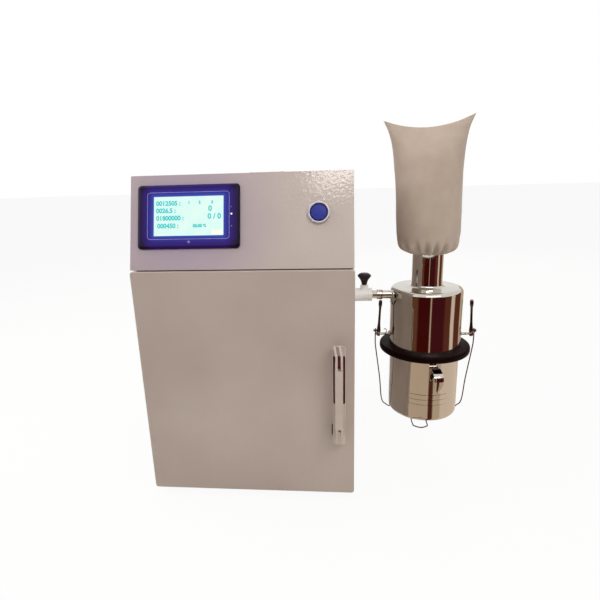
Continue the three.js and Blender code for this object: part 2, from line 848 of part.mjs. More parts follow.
// The part of the screen unit behind the panel
function screenHousing() {
  const level = (inset, from, to) => {
    const halfX = screenHousingWidth / 2 - inset;
    const halfS = screenHousingHeight / 2 - inset;
    const [low, high] = [screenUnitS - halfS, screenUnitS + halfS];
    return box([screenUnitX - halfX, from, low], [screenUnitX + halfX, to, high]);
  };
  return [level(0, -sheet, screenHousingDepth / 2), level(screenHousingStep, 0, screenHousingDepth)];
}

function buttonBezel() {
  const profile = [
    [buttonWellRadius, -fitGap],
    [buttonBezelRadius, -fitGap],
    [buttonBezelRadius, buttonBezelRound - buttonBezelProud],
    [buttonBezelRadius - buttonBezelRound, -buttonBezelProud],
    [buttonWellRadius, -buttonBezelProud],
  ];
  return turned("y", profile, 28, [buttonX, 0, buttonS]);
}

function buttonCap() {
  const face = buttonCapSunk - buttonBezelProud;
  const profile = [
    [0, face - buttonCapCrown],
    [0, 0],
    [buttonStemRadius, 0],
    [buttonStemRadius, buttonCollarSunk - buttonBezelProud],
    [buttonCapRadius - fitGap, buttonCollarSunk - buttonBezelProud],
    [buttonCapRadius - fitGap, face],
    [buttonCapRadius * capShoulderShare, face - buttonCapCrown * capRiseShare],
  ];
  return turned("y", profile, 28, [buttonX, 0, buttonS]);
}

function buttonBody() {
  const floor = fitGap + buttonTravel;
  const ledge = -2 * fitGap;
  const profile = [
    [0, floor],
    [0, buttonBodyDepth],
    [buttonBodyRadius, buttonBodyDepth],
    [buttonBodyRadius, -fitGap],
    [buttonWellRadius - fitGap, -fitGap],
    [buttonWellRadius - fitGap, buttonCollarSunk - buttonBezelProud],
    [buttonCapRadius, buttonCollarSunk - buttonBezelProud],
    [buttonCapRadius, ledge],
    [buttonStemRadius + fitGap, ledge],
    [buttonStemRadius + fitGap, floor],
  ];
  return turned("y", profile, 20, [buttonX, 0, buttonS]);
}

piece(panelGroup, "control_panel", controlPanel(), greyPaint);
piece(panelGroup, "screen_unit", screenUnit(), blackPlastic);
piece(panelGroup, "screen_display", display(), screenGlass);
piece(panelGroup, "button_bezel", buttonBezel(), polishedSteel);
piece(panelGroup, "button_cap", buttonCap(), bluePlastic);
piece(panelGroup, "button_body", buttonBody(), blackPlastic);

// Door: a folded pan with foam inside, hung on three pins at its left edge
function doorPanel() {
  const side = halfWidth + doorOverlap;
  const reach = side - doorEdge;
  const shape = roundedRectangle(-reach, doorEdge, reach, doorHeight - doorEdge, doorCorner);
  const block = new THREE.ExtrudeGeometry(shape, {
    depth: doorDepth - doorEdge,
    bevelThickness: doorEdge,
    bevelSize: doorEdge,
    bevelSegments: 1,
    curveSegments: 2,
  });
  block.translate(0, 0, doorEdge - doorDepth - doorEdge).rotateX(quarterTurn);
  const surplus = box([-2 * side, doorDepth, -side], [2 * side, doorDepth + 2 * doorEdge, 2 * doorHeight]);
  const pocket = box([-side + sheet, sheet, sheet], [side - sheet, doorDepth + overrun, doorHeight - sheet]);
  const notches = hingeHeights.map((z) => {
    const space = hingeRadius + runGap;
    return box(
      [-side - overrun, hingeY - space, z - hingeHalf - runGap],
      [hingeX + space, doorDepth + overrun, z + hingeHalf + runGap],
    );
  });
  const shaftHole = rod("y", handleShaftRadius + runGap, [handleX, -overrun, handleAxisZ], doorDepth);
  return join(cut(block, surplus, pocket, shaftHole, ...notches), ...doorKnuckles());
}

function doorFoam() {
  const side = halfWidth - foamInset;
  const front = sheet + fitGap;
  const shape = roundedRectangle(-side, foamInset, side, doorHeight - foamInset, doorCorner);
  const slab = prism("y", shape, front, front + foamThickness);
  const hole = box(
    [handleX - handleBaseWidth, 0, handleAxisZ - handleBaseWidth],
    [side + overrun, doorDepth, handleAxisZ + handleBaseWidth],
  );
  return cut(slab, hole);
}

// The door's knuckle is the upper half of each hinge, welded inside the door's left edge
function doorKnuckles() {
  const bore = hingePinRadius + fitGap;
  const leafX = hingeX + sheet - fitGap;
  return hingeHeights.map((z) => {
    const low = z + fitGap / 2;
    const corner = [leafX + sheet, hingeY - bore / 2, z + hingeHalf];
    const barrel = rod("z", hingeRadius, [hingeX, hingeY, low], hingeHalf, 10);
    const bridge = box([hingeX, hingeY - hingeRadius, low], corner);
    const leaf = box([leafX, hingeY - hingeLeafLength, low], corner);
    const hole = rod("z", bore, [hingeX, hingeY, z - overrun], hingeHalf + 2 * overrun, 10);
    return cut(join(barrel, bridge, leaf), hole);
  });
}

// The cabinet's knuckle is the lower half with the pin, welded inside the shell's left wall
function hingePins() {
  const leafX = -halfWidth + sheet - fitGap;
  return hingeHeights.map((z) => {
    const low = z - hingeHalf;
    const high = z - fitGap / 2;
    const barrel = rod("z", hingeRadius, [hingeX, hingeY, low], hingeHalf - fitGap / 2, 10);
    const pin = rod("z", hingePinRadius, [hingeX, hingeY, low], 2 * hingeHalf + fitGap, 8);
    const bridge = box([hingeX, hingeY, low], [leafX + sheet, hingeY + hingeRadius, high]);
    const leaf = box([leafX, hingeY, low], [leafX + sheet, hingeY + 2 * hingeLeafLength, high]);
    return join(barrel, pin, bridge, leaf);
  });
}

function handleBase() {
  const half = handleBaseWidth / 2;
  const [left, right] = [handleX - half, handleX + half];
  const shape = roundedRectangle(left, handleBaseLow, right, handleBaseHigh, handleBaseCorner);
  const block = prism("y", shape, -handleBaseDepth, -fitGap);
  const reach = half - handleBaseRim;
  const pocketTop = handleBaseHigh - handleBaseRim;
  const pocketCorner = handleBaseCorner - handleBaseRim;
  const pocket = roundedRectangle(handleX - reach, handlePocketLow, handleX + reach, pocketTop, pocketCorner);
  const hollow = prism("y", pocket, -handleBaseDepth - overrun, -handleBaseRim);
  const boreStart = [handleX, -handleBaseDepth - overrun, handleAxisZ];
  const bore = rod("y", handleShaftRadius + fitGap, boreStart, handleBaseDepth + 2 * overrun);
  return cut(block, hollow, bore);
}

const handleDiscFront = -handleBaseDepth - fitGap - handleDiscDepth;
const camFront = bodyFront + sheet + 2 * runGap;

// Disc, shaft and tongue with the lift pin: what the bar turns when it is swung aside
function handleHub() {
  const disc = rod("y", handleDiscRadius, [handleX, handleDiscFront, handleAxisZ], handleDiscDepth, 24);
  const shaftLength = camFront - fitGap - handleDiscFront;
  const shaft = rod("y", handleShaftRadius, [handleX, handleDiscFront, handleAxisZ], shaftLength, 16);
  const tongueReach = handlePinDepth + 2 * handlePinRadius;
  const tongue = box(
    [handleX - handleTongue / 2, -tongueReach, handleAxisZ - 2 * handleTongue],
    [handleX + handleTongue / 2, handleDiscFront + fitGap, handleAxisZ + 2 * handleTongue],
  );
  const pinHalf = handleBarWidth / 2 - fitGap;
  const pin = rod("x", handlePinRadius, [handleX - pinHalf, -handlePinDepth, handleAxisZ], 2 * pinHalf, 12);
  return join(disc, shaft, tongue, pin);
}

// Two-rail bar, forked at its foot round the tongue and slotted at its head
function handleBar() {
  const back = handleFront - handleBarDepth;
  const inner = handleBarBend - handleBarDepth / 2;
  const profile = outline([
    [-handleFront, handleBarLow],
    [-back, handleBarLow],
    [-back, inner],
    [-handleBarDepth, handleBarTop - handleBarDepth - fitGap],
    [-runGap, handleBarTop - handleBarDepth - fitGap],
    [-runGap, handleBarTop],
    [-handleBarDepth, handleBarTop],
    [-handleFront, handleBarBend],
  ]);
  const bar = prism("x", profile, handleX - handleBarWidth / 2, handleX + handleBarWidth / 2);
  const slotAt = (low, high) =>
    box([handleX - handleSlot / 2, -handleFront - overrun, low], [handleX + handleSlot / 2, 0, high]);
  const boreStart = [handleX - handleBarWidth, -handlePinDepth, handleAxisZ];
  const bore = rod("x", handlePinRadius + fitGap, boreStart, 2 * handleBarWidth, 12);
  const fork = slotAt(handleBarLow - overrun, handleSlotTop);
  return cut(bar, fork, slotAt(handleUpperSlotLow, handleUpperSlotTop), bore);
}

function latchCam() {
  const half = camWidth / 2;
  const [left, right, low] = [handleX - half, handleX + half, handleAxisZ - camLength];
  const shape = roundedRectangle(left, low, right, handleAxisZ + half, half * camRoundShare);
  const hubStart = [handleX, camFront, handleAxisZ];
  const hub = rod("y", handleShaftRadius + 2 * fitGap, hubStart, camThickness + 2 * sheet, 12);
  return join(prism("y", shape, camFront, camFront + camThickness), hub);
}

piece(door, "door_panel", doorPanel(), greyPaint);
piece(door, "door_foam", doorFoam(), greyFoam);
piece(door, "handle_base", handleBase(), castAluminium);
piece(door, "handle_hub", handleHub(), brushedSteel);
piece(door, "handle_bar", handleBar(), castAluminium);
piece(door, "latch_cam", latchCam(), brushedSteel);

// Hopper under the top, with its lid hinged at the back
function hopper() {
  const low = feedAxisZ + feedTubeRadius * hopperSeatShare;
  const neck = bulkheadTop;
  const straightLow = bodyTop - sheet - fitGap - hopperStraight;
  const top = bodyTop - sheet - fitGap;
  const width = hopperWidth - 2 * sheet;
  const length = hopperLength - 2 * sheet;
  const skin = (grow, under, over) => {
    const small = [throatWidth + grow, throatLength + grow];
    const large = [width + grow, length + grow];
    return [
      taper(hopperX, hopperY, ...small, low - under, ...small, neck + fitGap),
      taper(hopperX, hopperY, ...small, neck, ...large, straightLow),
      taper(hopperX, hopperY, ...large, straightLow - fitGap, ...large, top + over),
    ];
  };
  const flange = hopperBox(shellFlange / 2, top - sheet, top);
  return cut(join(flange, ...skin(2 * sheet, 0, 0)), ...skin(0, overrun, overrun));
}

function hopperLid() {
  const halfX = hopperWidth / 2;
  const halfBarrel = lidBarrelLength / 2;
  const front = hopperY - hopperLength / 2;
  const rear = hopperY + hopperLength / 2;
  const low = bodyTop - sheet;
  const lid = box([hopperX - halfX, front, low], [hopperX + halfX, rear, bodyTop]);
  const finger = rod("z", hopperLength / 6, [hopperX, front, low - overrun], sheet + 2 * overrun, 20);
  const strapTop = bodyTop + fitGap + sheet;
  const strapFront = rear - 2 * lidEarWidth;
  const [left, right] = [hopperX - halfBarrel, hopperX + halfBarrel];
  const root = box([left, strapFront, bodyTop - sheet / 2], [right, rear, strapTop]);
  const strap = box([left, strapFront, bodyTop + fitGap], [right, lidHingeY, strapTop]);
  const barrelStart = [left, lidHingeY, lidHingeZ];
  const barrel = rod("x", lidBarrelRadius, barrelStart, lidBarrelLength, 14);
  const trunnionStart = [left - lidEarWidth, lidHingeY, lidHingeZ];
  const trunnions = rod("x", lidTrunnionRadius, trunnionStart, lidBarrelLength + 2 * lidEarWidth, 12);
  return join(cut(lid, finger), root, strap, barrel, trunnions);
}

piece(cabinet, "hopper", hopper(), brushedSteel);
piece(cabinet, "hopper_lid", hopperLid(), greyPaint);

// Screw feeder: a tube from the hopper's throat to a spout over the mill's chute
function feedTube() {
  const start = feedTubeFront;
  const length = bulkheadFront - fitGap - start;
  const barrel = rod("y", feedTubeRadius, [millX, start, feedAxisZ], length, 24);
  const spout = rod("z", spoutRadius, [millX, spoutY, spoutLow], feedAxisZ - spoutLow, 20);
  const bore = rod("y", feedTubeRadius - feedTubeWall, [millX, start + feedTubeWall, feedAxisZ], length, 24);
  const spoutBoreStart = [millX, spoutY, spoutLow - overrun];
  const spoutBore = rod("z", spoutRadius - feedTubeWall, spoutBoreStart, feedAxisZ - spoutLow, 20);
  const halfX = throatWidth / 2 + sheet + fitGap;
  const halfY = throatLength / 2 + sheet + fitGap;
  const mouth = box(
    [hopperX - halfX, hopperY - halfY, feedAxisZ + feedTubeRadius * throatCutShare],
    [hopperX + halfX, hopperY + halfY, feedAxisZ + 2 * feedTubeRadius],
  );
  const throat = box(
    [hopperX - throatWidth / 2, hopperY - throatLength / 2, feedAxisZ],
    [hopperX + throatWidth / 2, hopperY + throatLength / 2, feedAxisZ + 2 * feedTubeRadius],
  );
  return cut(join(barrel, spout), bore, spoutBore, mouth, throat);
}

// One turning section of core and flight, wound up along Y round a plain spindle
function feedScrew() {
  const start = feedTubeFront + feedTubeWall + 2 * runGap;
  const end = bulkheadBack + feedGearLength / 3;
  const wound = bulkheadFront - 2 * runGap - overrun - start;
  const stepsPerTurn = 8;
  const steps = Math.round((wound / feedPitch) * stepsPerTurn);
  const half = (2 * quarterTurn * feedFlight) / feedPitch;
  const section = [
    [feedScrewRadius, -half * flightTipShare],
    [feedScrewRadius, half * flightTipShare],
    [feedCoreRadius, half],
  ];
  const coreCorners = 5;
  for (let i = 1; i <= coreCorners; i += 1) {
    section.push([feedCoreRadius, half + (i / coreCorners) * (4 * quarterTurn - 2 * half)]);
  }
  const rings = [];
  for (let i = 0; i <= steps; i += 1) {
    const turn = -(i / stepsPerTurn) * 4 * quarterTurn;
    const y = start + overrun + (i / steps) * wound;
    rings.push(section.map(([radius, angle]) =>
      new THREE.Vector3(radius * Math.cos(angle + turn), radius * Math.sin(angle + turn), y),
    ));
  }
  const flight = lay(loft(rings), "y").translate(millX, 0, feedAxisZ);
  const spindle = rod("y", feedCoreRadius * spindleShare, [millX, start, feedAxisZ], end - start, 12);
  return join(flight, spindle);
}

function feedMotor() {
  const gearY = bulkheadBack + fitGap;
  const gear = box(
    [millX - feedMotorRadius, gearY, feedAxisZ - feedMotorRadius],
    [millX + feedMotorRadius, gearY + feedGearLength, feedAxisZ + feedMotorRadius * feedGearShare],
  );
  const start = [millX, gearY, feedAxisZ];
  const length = feedGearLength + feedMotorLength;
  const motor = rod("y", feedMotorRadius * feedMotorShare, start, length, 24);
  const boss = rod("y", feedMotorRadius * feedBossShare, start, length + 2 * sheet, 12);
  const bore = rod("y", feedCoreRadius + fitGap, [millX, gearY - overrun, feedAxisZ], feedGearLength / 2, 12);
  return cut(join(gear, motor, boss), bore);
}

piece(cabinet, "feed_tube", feedTube(), brushedSteel);
piece(cabinet, "feed_screw", feedScrew(), brushedSteel);
piece(cabinet, "feed_motor", feedMotor(), blackPlastic);

// Hammer mill, in a frame on the rotor's axis
const housingFront = bulkheadBack + fitGap;
const polar = (radius, degrees) => {
  const angle = THREE.MathUtils.degToRad(degrees);
  return [radius * Math.cos(angle), radius * Math.sin(angle)];
};

function millHousing() {
  const drum = rod("y", millRadius, [0, millFront, 0], millDepth, 24);
  const rim = rod("y", millFlangeRadius, [0, millFront, 0], millFlangeDepth, 24);
  const foot = rod("y", millFlangeRadius, [0, millBack - millFlangeDepth, 0], millFlangeDepth, 24);
  const ears = studAngles.map((degrees) => {
    const [x, z] = polar(millStudCircle, degrees);
    return rod("y", millEarRadius, [x, millFront, z], millFlangeDepth, 10);
  });
  const studs = studAngles.map((degrees) => {
    const [x, z] = polar(millStudCircle, degrees);
    const start = millFront - coverThickness - 2 * fitGap - knobLength / 2;
    return rod("y", studRadius, [x, start, z], coverThickness + knobLength, 8);
  });
  const ductEnd = halfWidth - millX + sheet;
  const duct = rod("x", ductOuter, [0, ductY, ductZ - millZ], ductEnd, 20);
  const chamber = rod("y", chamberRadius, [0, millFront - overrun, 0], millDepth + overrun - millWall, 24);
  const shaftHole = rod("y", shaftRadius + 2 * runGap, [0, chamberFloor - overrun, 0], 2 * millWall, 16);
  const ductHole = rod("x", ductBore, [0, ductY, ductZ - millZ], ductEnd + overrun, 20);
  const probeStart = [-millRadius - overrun, ductY, 0];
  const probeHole = rod("x", probeRadius + fitGap, probeStart, millWall + 2 * overrun, 12);
  return cut(join(drum, rim, foot, duct, ...ears, ...studs), chamber, shaftHole, ductHole, probeHole);
}

// Probe for the chamber's temperature, screwed into the housing's left side
function temperatureProbe() {
  const stem = rod("x", probeRadius, [-millRadius - 2 * fitGap, ductY, 0], millWall + probeReach, 12);
  const hex = rod("x", probeHexRadius, [-millRadius - fitGap - probeHexRadius, ductY, 0], probeHexRadius, 6);
  const leadStart = [-millRadius - 3 * probeHexRadius, ductY, 0];
  const lead = rod("x", probeRadius * probeLeadShare, leadStart, 3 * probeHexRadius, 10);
  return join(stem, hex, cut(lead, box([-millRadius, 0, -probeHexRadius], [0, 2 * ductY, probeHexRadius])));
}

// Round cover with its feed chute
function millCover() {
  const back = millFront - fitGap;
  const front = back - coverThickness;
  const disc = rod("y", millFlangeRadius, [0, front, 0], coverThickness, 24);
  const spigot = rod("y", screenRadius - 2 * fitGap, [0, back - fitGap, 0], sheet + fitGap, 24);
  const ears = studAngles.map((degrees) => {
    const [x, z] = polar(millStudCircle, degrees);
    return rod("y", millEarRadius, [x, front, z], coverThickness, 10);
  });
  const holes = studAngles.map((degrees) => {
    const [x, z] = polar(millStudCircle, degrees);
    return rod("y", studRadius + fitGap, [x, front - overrun, z], coverThickness + 2 * overrun, 8);
  });
  const mouthZ = chuteMouth - millZ;
  const wedge = (grow) => {
    const half = chuteHalfWidth + grow;
    const reach = front - chuteReach - grow;
    const shape = outline([
      [front + sheet, mouthZ + (grow > 0 ? 0 : overrun)],
      [reach, mouthZ + (grow > 0 ? 0 : overrun)],
      [reach, mouthZ - chuteReach / 2],
      [front + sheet, -inletRadius - grow],
    ]);
    return prism("x", shape, -half, half);
  };
  const bore = rod("y", inletRadius, [0, front - overrun, 0], coverThickness + sheet + 3 * overrun, 24);
  return cut(join(disc, spigot, ...ears, wedge(chuteWall)), wedge(0), bore, ...holes);
}

// Star knobs on the cover's three studs
function coverKnob(degrees) {
  const y = millFront - coverThickness - 2 * fitGap;
  const [x, z] = polar(millStudCircle, degrees);
  const star = around(24, (angle, i) => {
    const radius = knobRadius * (i % 4 < 2 ? 1 : knobValleyShare);
    return [x + radius * Math.cos(angle), z + radius * Math.sin(angle)];
  });
  const head = prism("y", outline(star), y - knobLength, y - knobLength / 3);
  const hub = rod("y", knobRadius * knobHubShare, [x, y - knobLength, z], knobLength, 14);
  const bore = rod("y", studRadius + fitGap, [x, y - knobLength + sheet, z], knobLength, 10);
  return cut(join(head, hub), bore);
}

// Perforated screen that surrounds the rotor
function screenRing() {
  const low = millFront + sheet + fitGap;
  const high = chamberFloor - fitGap;
  const ring = turned("y", tubeProfile(screenRadius + screenThickness, screenRadius, low, high), 30);
  const holes = [];
  for (let row = 0; row < screenRows; row += 1) {
    const y = low + ((row + 0.5) / screenRows) * (high - low);
    around(screenHoleCount, (angle) => {
      const start = [screenRadius - overrun, 0, 0];
      const hole = rod("x", screenHoleRadius, start, screenThickness + 2 * overrun, 4);
      const turn = angle + ((row % 2) * 2 * quarterTurn) / screenHoleCount;
      holes.push(hole.rotateY(turn).translate(0, y, 0));
    });
  }
  return cut(ring, ...holes);
}

// Rotor: a hub and a back disc
const rotorBackY = chamberFloor - rotorBack;
function rotor() {
  const disc = rod("y", rotorRadius, [0, rotorBackY - rotorDisc, 0], rotorDisc, 36);
  const hub = rod("y", hubRadius, [0, rotorBackY - hubLength, 0], hubLength + rotorBack / 2, 20);
  const boreStart = [0, rotorBackY - hubLength - overrun, 0];
  const bore = rod("y", shaftRadius + fitGap, boreStart, hubLength + rotorBack + overrun, 16);
  return cut(join(disc, hub), bore);
}

// Hammers bolted to the disc's front, each with a stepped face and a bevelled tip
function hammers() {
  const back = rotorBackY - rotorDisc - fitGap;
  const front = back - hammerDepth;
  const half = hammerWidth / 2;
  const root = hubRadius + 2 * fitGap;
  const shape = outline([
    [root, -half],
    [hammerReach - half, -half],
    [hammerReach, 0],
    [hammerReach, half],
    [root, half],
  ]);
  const notch = box(
    [root - overrun, front - overrun, -hammerWidth],
    [rotorRadius * hammerNotchShare, front + hammerDepth / 3, hammerWidth],
  );
  return around(hammerCount, (angle) => cut(prism("y", shape, front, back), notch).rotateY(angle));
}

function rotorShaft() {
  const hubFront = rotorBackY - hubLength;
  const nose = hubFront - rotorNutLength + 2 * sheet;
  const end = couplingFront + couplingLength / 2 - fitGap;
  const steps = [
    [shaftRadius * shaftNoseShare, nose, hubFront - nose + fitGap],
    [shaftRadius, hubFront, end - hubFront],
  ];
  const nut = rod("y", rotorNutRadius, [0, hubFront - fitGap - rotorNutLength, 0], rotorNutLength, 6);
  return join(nut, ...steps.map(([radius, y, length]) => rod("y", radius, [0, y, 0], length, 16)));
}

// Cartridge with two ball bearings, flanged to the back of the bulkhead
function bearingHousing() {
  const y = housingFront;
  const flange = rod("y", housingFlangeRadius, [0, y, 0], housingFlange, 20);
  const barrel = rod("y", housingRadius, [0, y, 0], housingLength, 20);
  const seat = bearingWidth + fitGap + sheet;
  const bores = [
    rod("y", bearingRadius + fitGap, [0, y - overrun, 0], seat + overrun, 20),
    rod("y", bearingRadius + fitGap, [0, y + housingLength - seat, 0], seat + overrun, 20),
    rod("y", shaftRadius + 4 * runGap, [0, y - overrun, 0], housingLength + 2 * overrun, 16),
  ];
  return cut(join(flange, barrel), ...bores);
}

function bearing(start) {
  const land = (bearingRadius - shaftRadius) / 4;
  const inner = shaftRadius + fitGap;
  const end = start + bearingWidth;
  return turned("y", [
    [inner, start],
    [inner, end],
    [inner + land, end],
    [inner + land, end - bearingGroove],
    [bearingRadius - land, end - bearingGroove],
    [bearingRadius - land, end],
    [bearingRadius, end],
    [bearingRadius, start],
    [bearingRadius - land, start],
    [bearingRadius - land, start + bearingGroove],
    [inner + land, start + bearingGroove],
    [inner + land, start],
  ], 14);
}

// Split clamping sleeve that joins the rotor's shaft to the motor's
function shaftCoupling() {
  const end = couplingFront + couplingLength;
  const sleeve = turned("y", tubeProfile(couplingRadius, shaftRadius + fitGap, couplingFront, end), 20);
  const split = box(
    [-couplingSplit / 2, couplingFront - overrun, 0],
    [couplingSplit / 2, end + overrun, 2 * couplingRadius],
  );
  const screws = [1, 3].flatMap((quarter) => {
    const y = couplingFront + (quarter * couplingLength) / 4;
    const z = (couplingRadius + shaftRadius) / 2;
    return [
      rod("x", couplingScrewHead, [couplingRadius / 2, y, z], couplingRadius, 8),
      rod("x", couplingScrewHead, [-couplingRadius / 2 - couplingRadius, y, z], couplingRadius, 8),
    ];
  });
  return cut(sleeve, split, ...screws);
}

function motorShaft() {
  const start = couplingFront + couplingLength / 2 + fitGap;
  return rod("y", shaftRadius, [0, start, 0], motorFront + motorBell - start, 16);
}

// Motor: a finned body between two end bells, with a fan cowl behind
function motorBody() {
  const start = motorFront + motorBell + fitGap;
  const ribbed = around(4 * motorFins, (angle, i) => {
    const radius = i % 4 < 2 ? motorRadius : motorRadius - motorFinDepth;
    return [radius * Math.cos(angle), radius * Math.sin(angle)];
  });
  const core = prism("y", outline(ribbed), start, start + motorCore - 2 * fitGap);
  const half = motorRadius * terminalHalfShare;
  const terminals = box(
    [-half, start + motorCore * terminalFromShare, 0],
    [half, start + motorCore * terminalToShare, motorRadius + motorBell],
  );
  const [front, cowl, bore] = motorBells();
  return cut(join(core, terminals, front, cowl), bore);
}

function motorBells() {
  const rear = motorFront + motorBell + motorCore;
  const neck = motorRadius * motorNeckShare;
  const front = turned("y", [
    [0, motorFront + motorBell + plate],
    [motorRadius - motorFinDepth, motorFront + motorBell + plate],
    [motorRadius - motorFinDepth, motorFront + motorBell / 2],
    [neck, motorFront + fitGap],
    [0, motorFront + fitGap],
  ], 20);
  const boreLength = motorBell + overrun + 2 * fitGap;
  const bore = rod("y", shaftRadius + runGap, [0, motorFront - overrun, 0], boreLength, 16);
  const cowlEnd = rear + motorBell + motorCowl;
  const cowl = turned("y", [
    [0, rear - plate],
    [0, cowlEnd],
    [motorRadius * cowlEndShare, cowlEnd],
    [motorRadius - sheet, cowlEnd - motorCowl / 3],
    [motorRadius - sheet, rear - plate],
  ], 20);
  return [front, cowl, bore];
}

function motorStand() {
  const start = motorFront + motorBell + fitGap;
  const end = start + motorCore - 2 * fitGap;
  const half = standWidth / 2;
  const low = baseTop + fitGap - millZ;
  const high = -motorRadius * standTopShare;
  const block = prism("y", outline([
    [-half - shellFlange, low],
    [half + shellFlange, low],
    [half + shellFlange, low + plate],
    [half, low + plate],
    [half, high],
    [-half, high],
    [-half, low + plate],
    [-half - shellFlange, low + plate],
  ]), start, end);
  const saddle = rod("y", motorRadius + plate, [0, start - overrun, 0], motorCore + 2 * overrun, 24);
  const tunnelTop = -motorRadius - 2 * plate;
  const tunnel = box([-half + plate, start - overrun, low + plate], [half - plate, end + overrun, tunnelTop]);
  return cut(block, saddle, tunnel);
}

piece(mill, "mill_housing", millHousing(), castAluminium);
piece(mill, "temperature_probe", temperatureProbe(), brushedSteel);
piece(mill, "mill_cover", millCover(), castAluminium);
studAngles.forEach((degrees, i) => {
  piece(mill, "cover_knob_" + ["bottom", "right", "left"][i], coverKnob(degrees), blackPlastic);
});
piece(mill, "screen_ring", screenRing(), brushedSteel);
piece(mill, "rotor", rotor(), brushedSteel);
hammers().forEach((hammer, i) => {
  piece(mill, "hammer_" + (i + 1), hammer, brushedSteel);
});
piece(mill, "rotor_shaft", rotorShaft(), brushedSteel);
piece(mill, "bearing_housing", bearingHousing(), castAluminium);
piece(mill, "front_bearing", bearing(housingFront + sheet), polishedSteel);
piece(mill, "rear_bearing", bearing(housingFront + housingLength - bearingWidth - sheet), polishedSteel);
piece(mill, "shaft_coupling", shaftCoupling(), castAluminium);
piece(mill, "motor_shaft", motorShaft(), brushedSteel);
piece(mill, "motor_body", motorBody(), motorPaint);
piece(mill, "motor_stand", motorStand(), brushedSteel);

// Motor drive with a ribbed heat sink
function motorDrive() {
  const left = -halfWidth + driveSideGap;
  const right = millX - standWidth / 2 - shellFlange - driveStandGap;
  const front = bulkheadBack + driveFrontGap;
  const back = cabinetDepth - driveBackGap;
  const low = baseTop + fitGap;
  const finPitch = (back - front) / driveFins;
  const body = box([left + finPitch, front, low], [right, back, low + driveHeight]);
  const fins = [];
  for (let i = 0; i < driveFins; i += 1) {
    const y = front + i * finPitch;
    fins.push(box([left, y, low], [(left + right) / 2, y + finPitch / 3, low + driveHeight]));
  }
  return join(body, ...fins);
}

function powerInlet() {
  const front = cabinetDepth + 2 * fitGap + sheet;
  const back = front - inletDepth;
  const level = (inset, from, to) => {
    const halfX = inletWidth / 2 - inset;
    const halfZ = inletHeight / 2 - inset;
    return box([inletX - halfX, from, inletZ - halfZ], [inletX + halfX, to, inletZ + halfZ]);
  };
  const halfX = inletWidth / 2 + inletLip;
  const halfZ = inletHeight / 2 + inletLip;
  const rim = roundedRectangle(inletX - halfX, inletZ - halfZ, inletX + halfX, inletZ + halfZ, inletLip);
  const collar = prism("y", rim, front, front + inletLip);
  const well = level(inletWall, back + 2 * inletWall, front + 2 * inletLip);
  const pins = [-1, 0, 1].map((place) => {
    const x = inletX + (place * inletWidth) / 4;
    const z = inletZ + (place === 0 ? inletWall : -inletWall / 2);
    return box(
      [x - inletPinHalf, back + inletWall, z - 2 * inletPinHalf],
      [x + inletPinHalf, front - inletWall, z + 2 * inletPinHalf],
    );
  });
  return join(cut(join(level(0, back, front + inletLip), collar), well), ...pins);
}

function fanFrame() {
  const half = fanSize / 2;
  const back = cabinetDepth;
  const front = back - fanDepth;
  const shape = roundedRectangle(fanX - half, fanZ - half, fanX + half, fanZ + half, fanCorner);
  const frame = prism("y", shape, front, back);
  const throat = rod("y", half - fanWall, [fanX, front - overrun, fanZ], fanDepth + 2 * overrun, 24);
  const seat = rod("y", fanHubRadius, [fanX, front, fanZ], fanWeb, 20);
  const struts = around(3, (angle) => {
    const strut = box([0, front, -fanStrutHalf], [half, front + fanWeb, fanStrutHalf]);
    return strut.rotateY(angle + quarterTurn / 3).translate(fanX, 0, fanZ);
  });
  const pin = rod("y", fanPinRadius, [fanX, front, fanZ], fanDepth / 2, 12);
  return join(cut(frame, throat), seat, pin, ...struts);
}

function fanRotor() {
  const back = cabinetDepth;
  const start = back - fanDepth + fanWeb + runGap;
  const end = back - 2 * runGap;
  const tip = fanSize / 2 - fanWall - 5 * runGap;
  const hub = rod("y", fanHubRadius, [0, start, 0], end - start, 14);
  const bore = rod("y", fanPinRadius + fitGap, [0, start - overrun, 0], fanDepth / 2, 12);
  const chord = fanHubRadius * fanBladeChordShare;
  const blades = around(fanBlades, (angle) => {
    const blade = box([fanHubRadius - fanBladeHalf, -fanBladeHalf, -chord], [tip, fanBladeHalf, chord]);
    return blade.rotateX(fanBladeTwist).translate(0, (start + end) / 2, 0).rotateY(angle);
  });
  return cut(join(hub, ...blades), bore).translate(fanX, 0, fanZ);
}

piece(cabinet, "motor_drive", motorDrive(), blackPlastic);
piece(cabinet, "power_inlet", powerInlet(), blackPlastic);
piece(cabinet, "cooling_fan_frame", fanFrame(), blackPlastic);
piece(cabinet, "cooling_fan_rotor", fanRotor(), blackPlastic);

// Outlet socket on the right wall and its clamp knob
function outletSocket() {
  const start = halfWidth + fitGap;
  const half = socketFlange / 2;
  const flangeEnd = start + socketFlangeThickness;
  const flange = box([start, ductY - half, ductZ - half], [flangeEnd, ductY + half, ductZ + half]);
  const barrel = rod("x", socketRadius, [start, ductY, ductZ], socketLength, 24);
  const boss = rod("z", clampBossRadius, [clampX, ductY, ductZ], clampBossLength, 16);
  const boreStart = [start - overrun, ductY, ductZ];
  const bore = rod("x", pipeRadius + fitGap, boreStart, socketLength + 2 * overrun, 24);
  const counterbore = rod("x", ductOuter + fitGap, boreStart, 2 * sheet + overrun, 20);
  const screwHole = rod("z", clampScrewRadius + fitGap, [clampX, ductY, ductZ], 2 * clampBossLength, 12);
  return cut(join(flange, barrel, boss), bore, counterbore, screwHole);
}

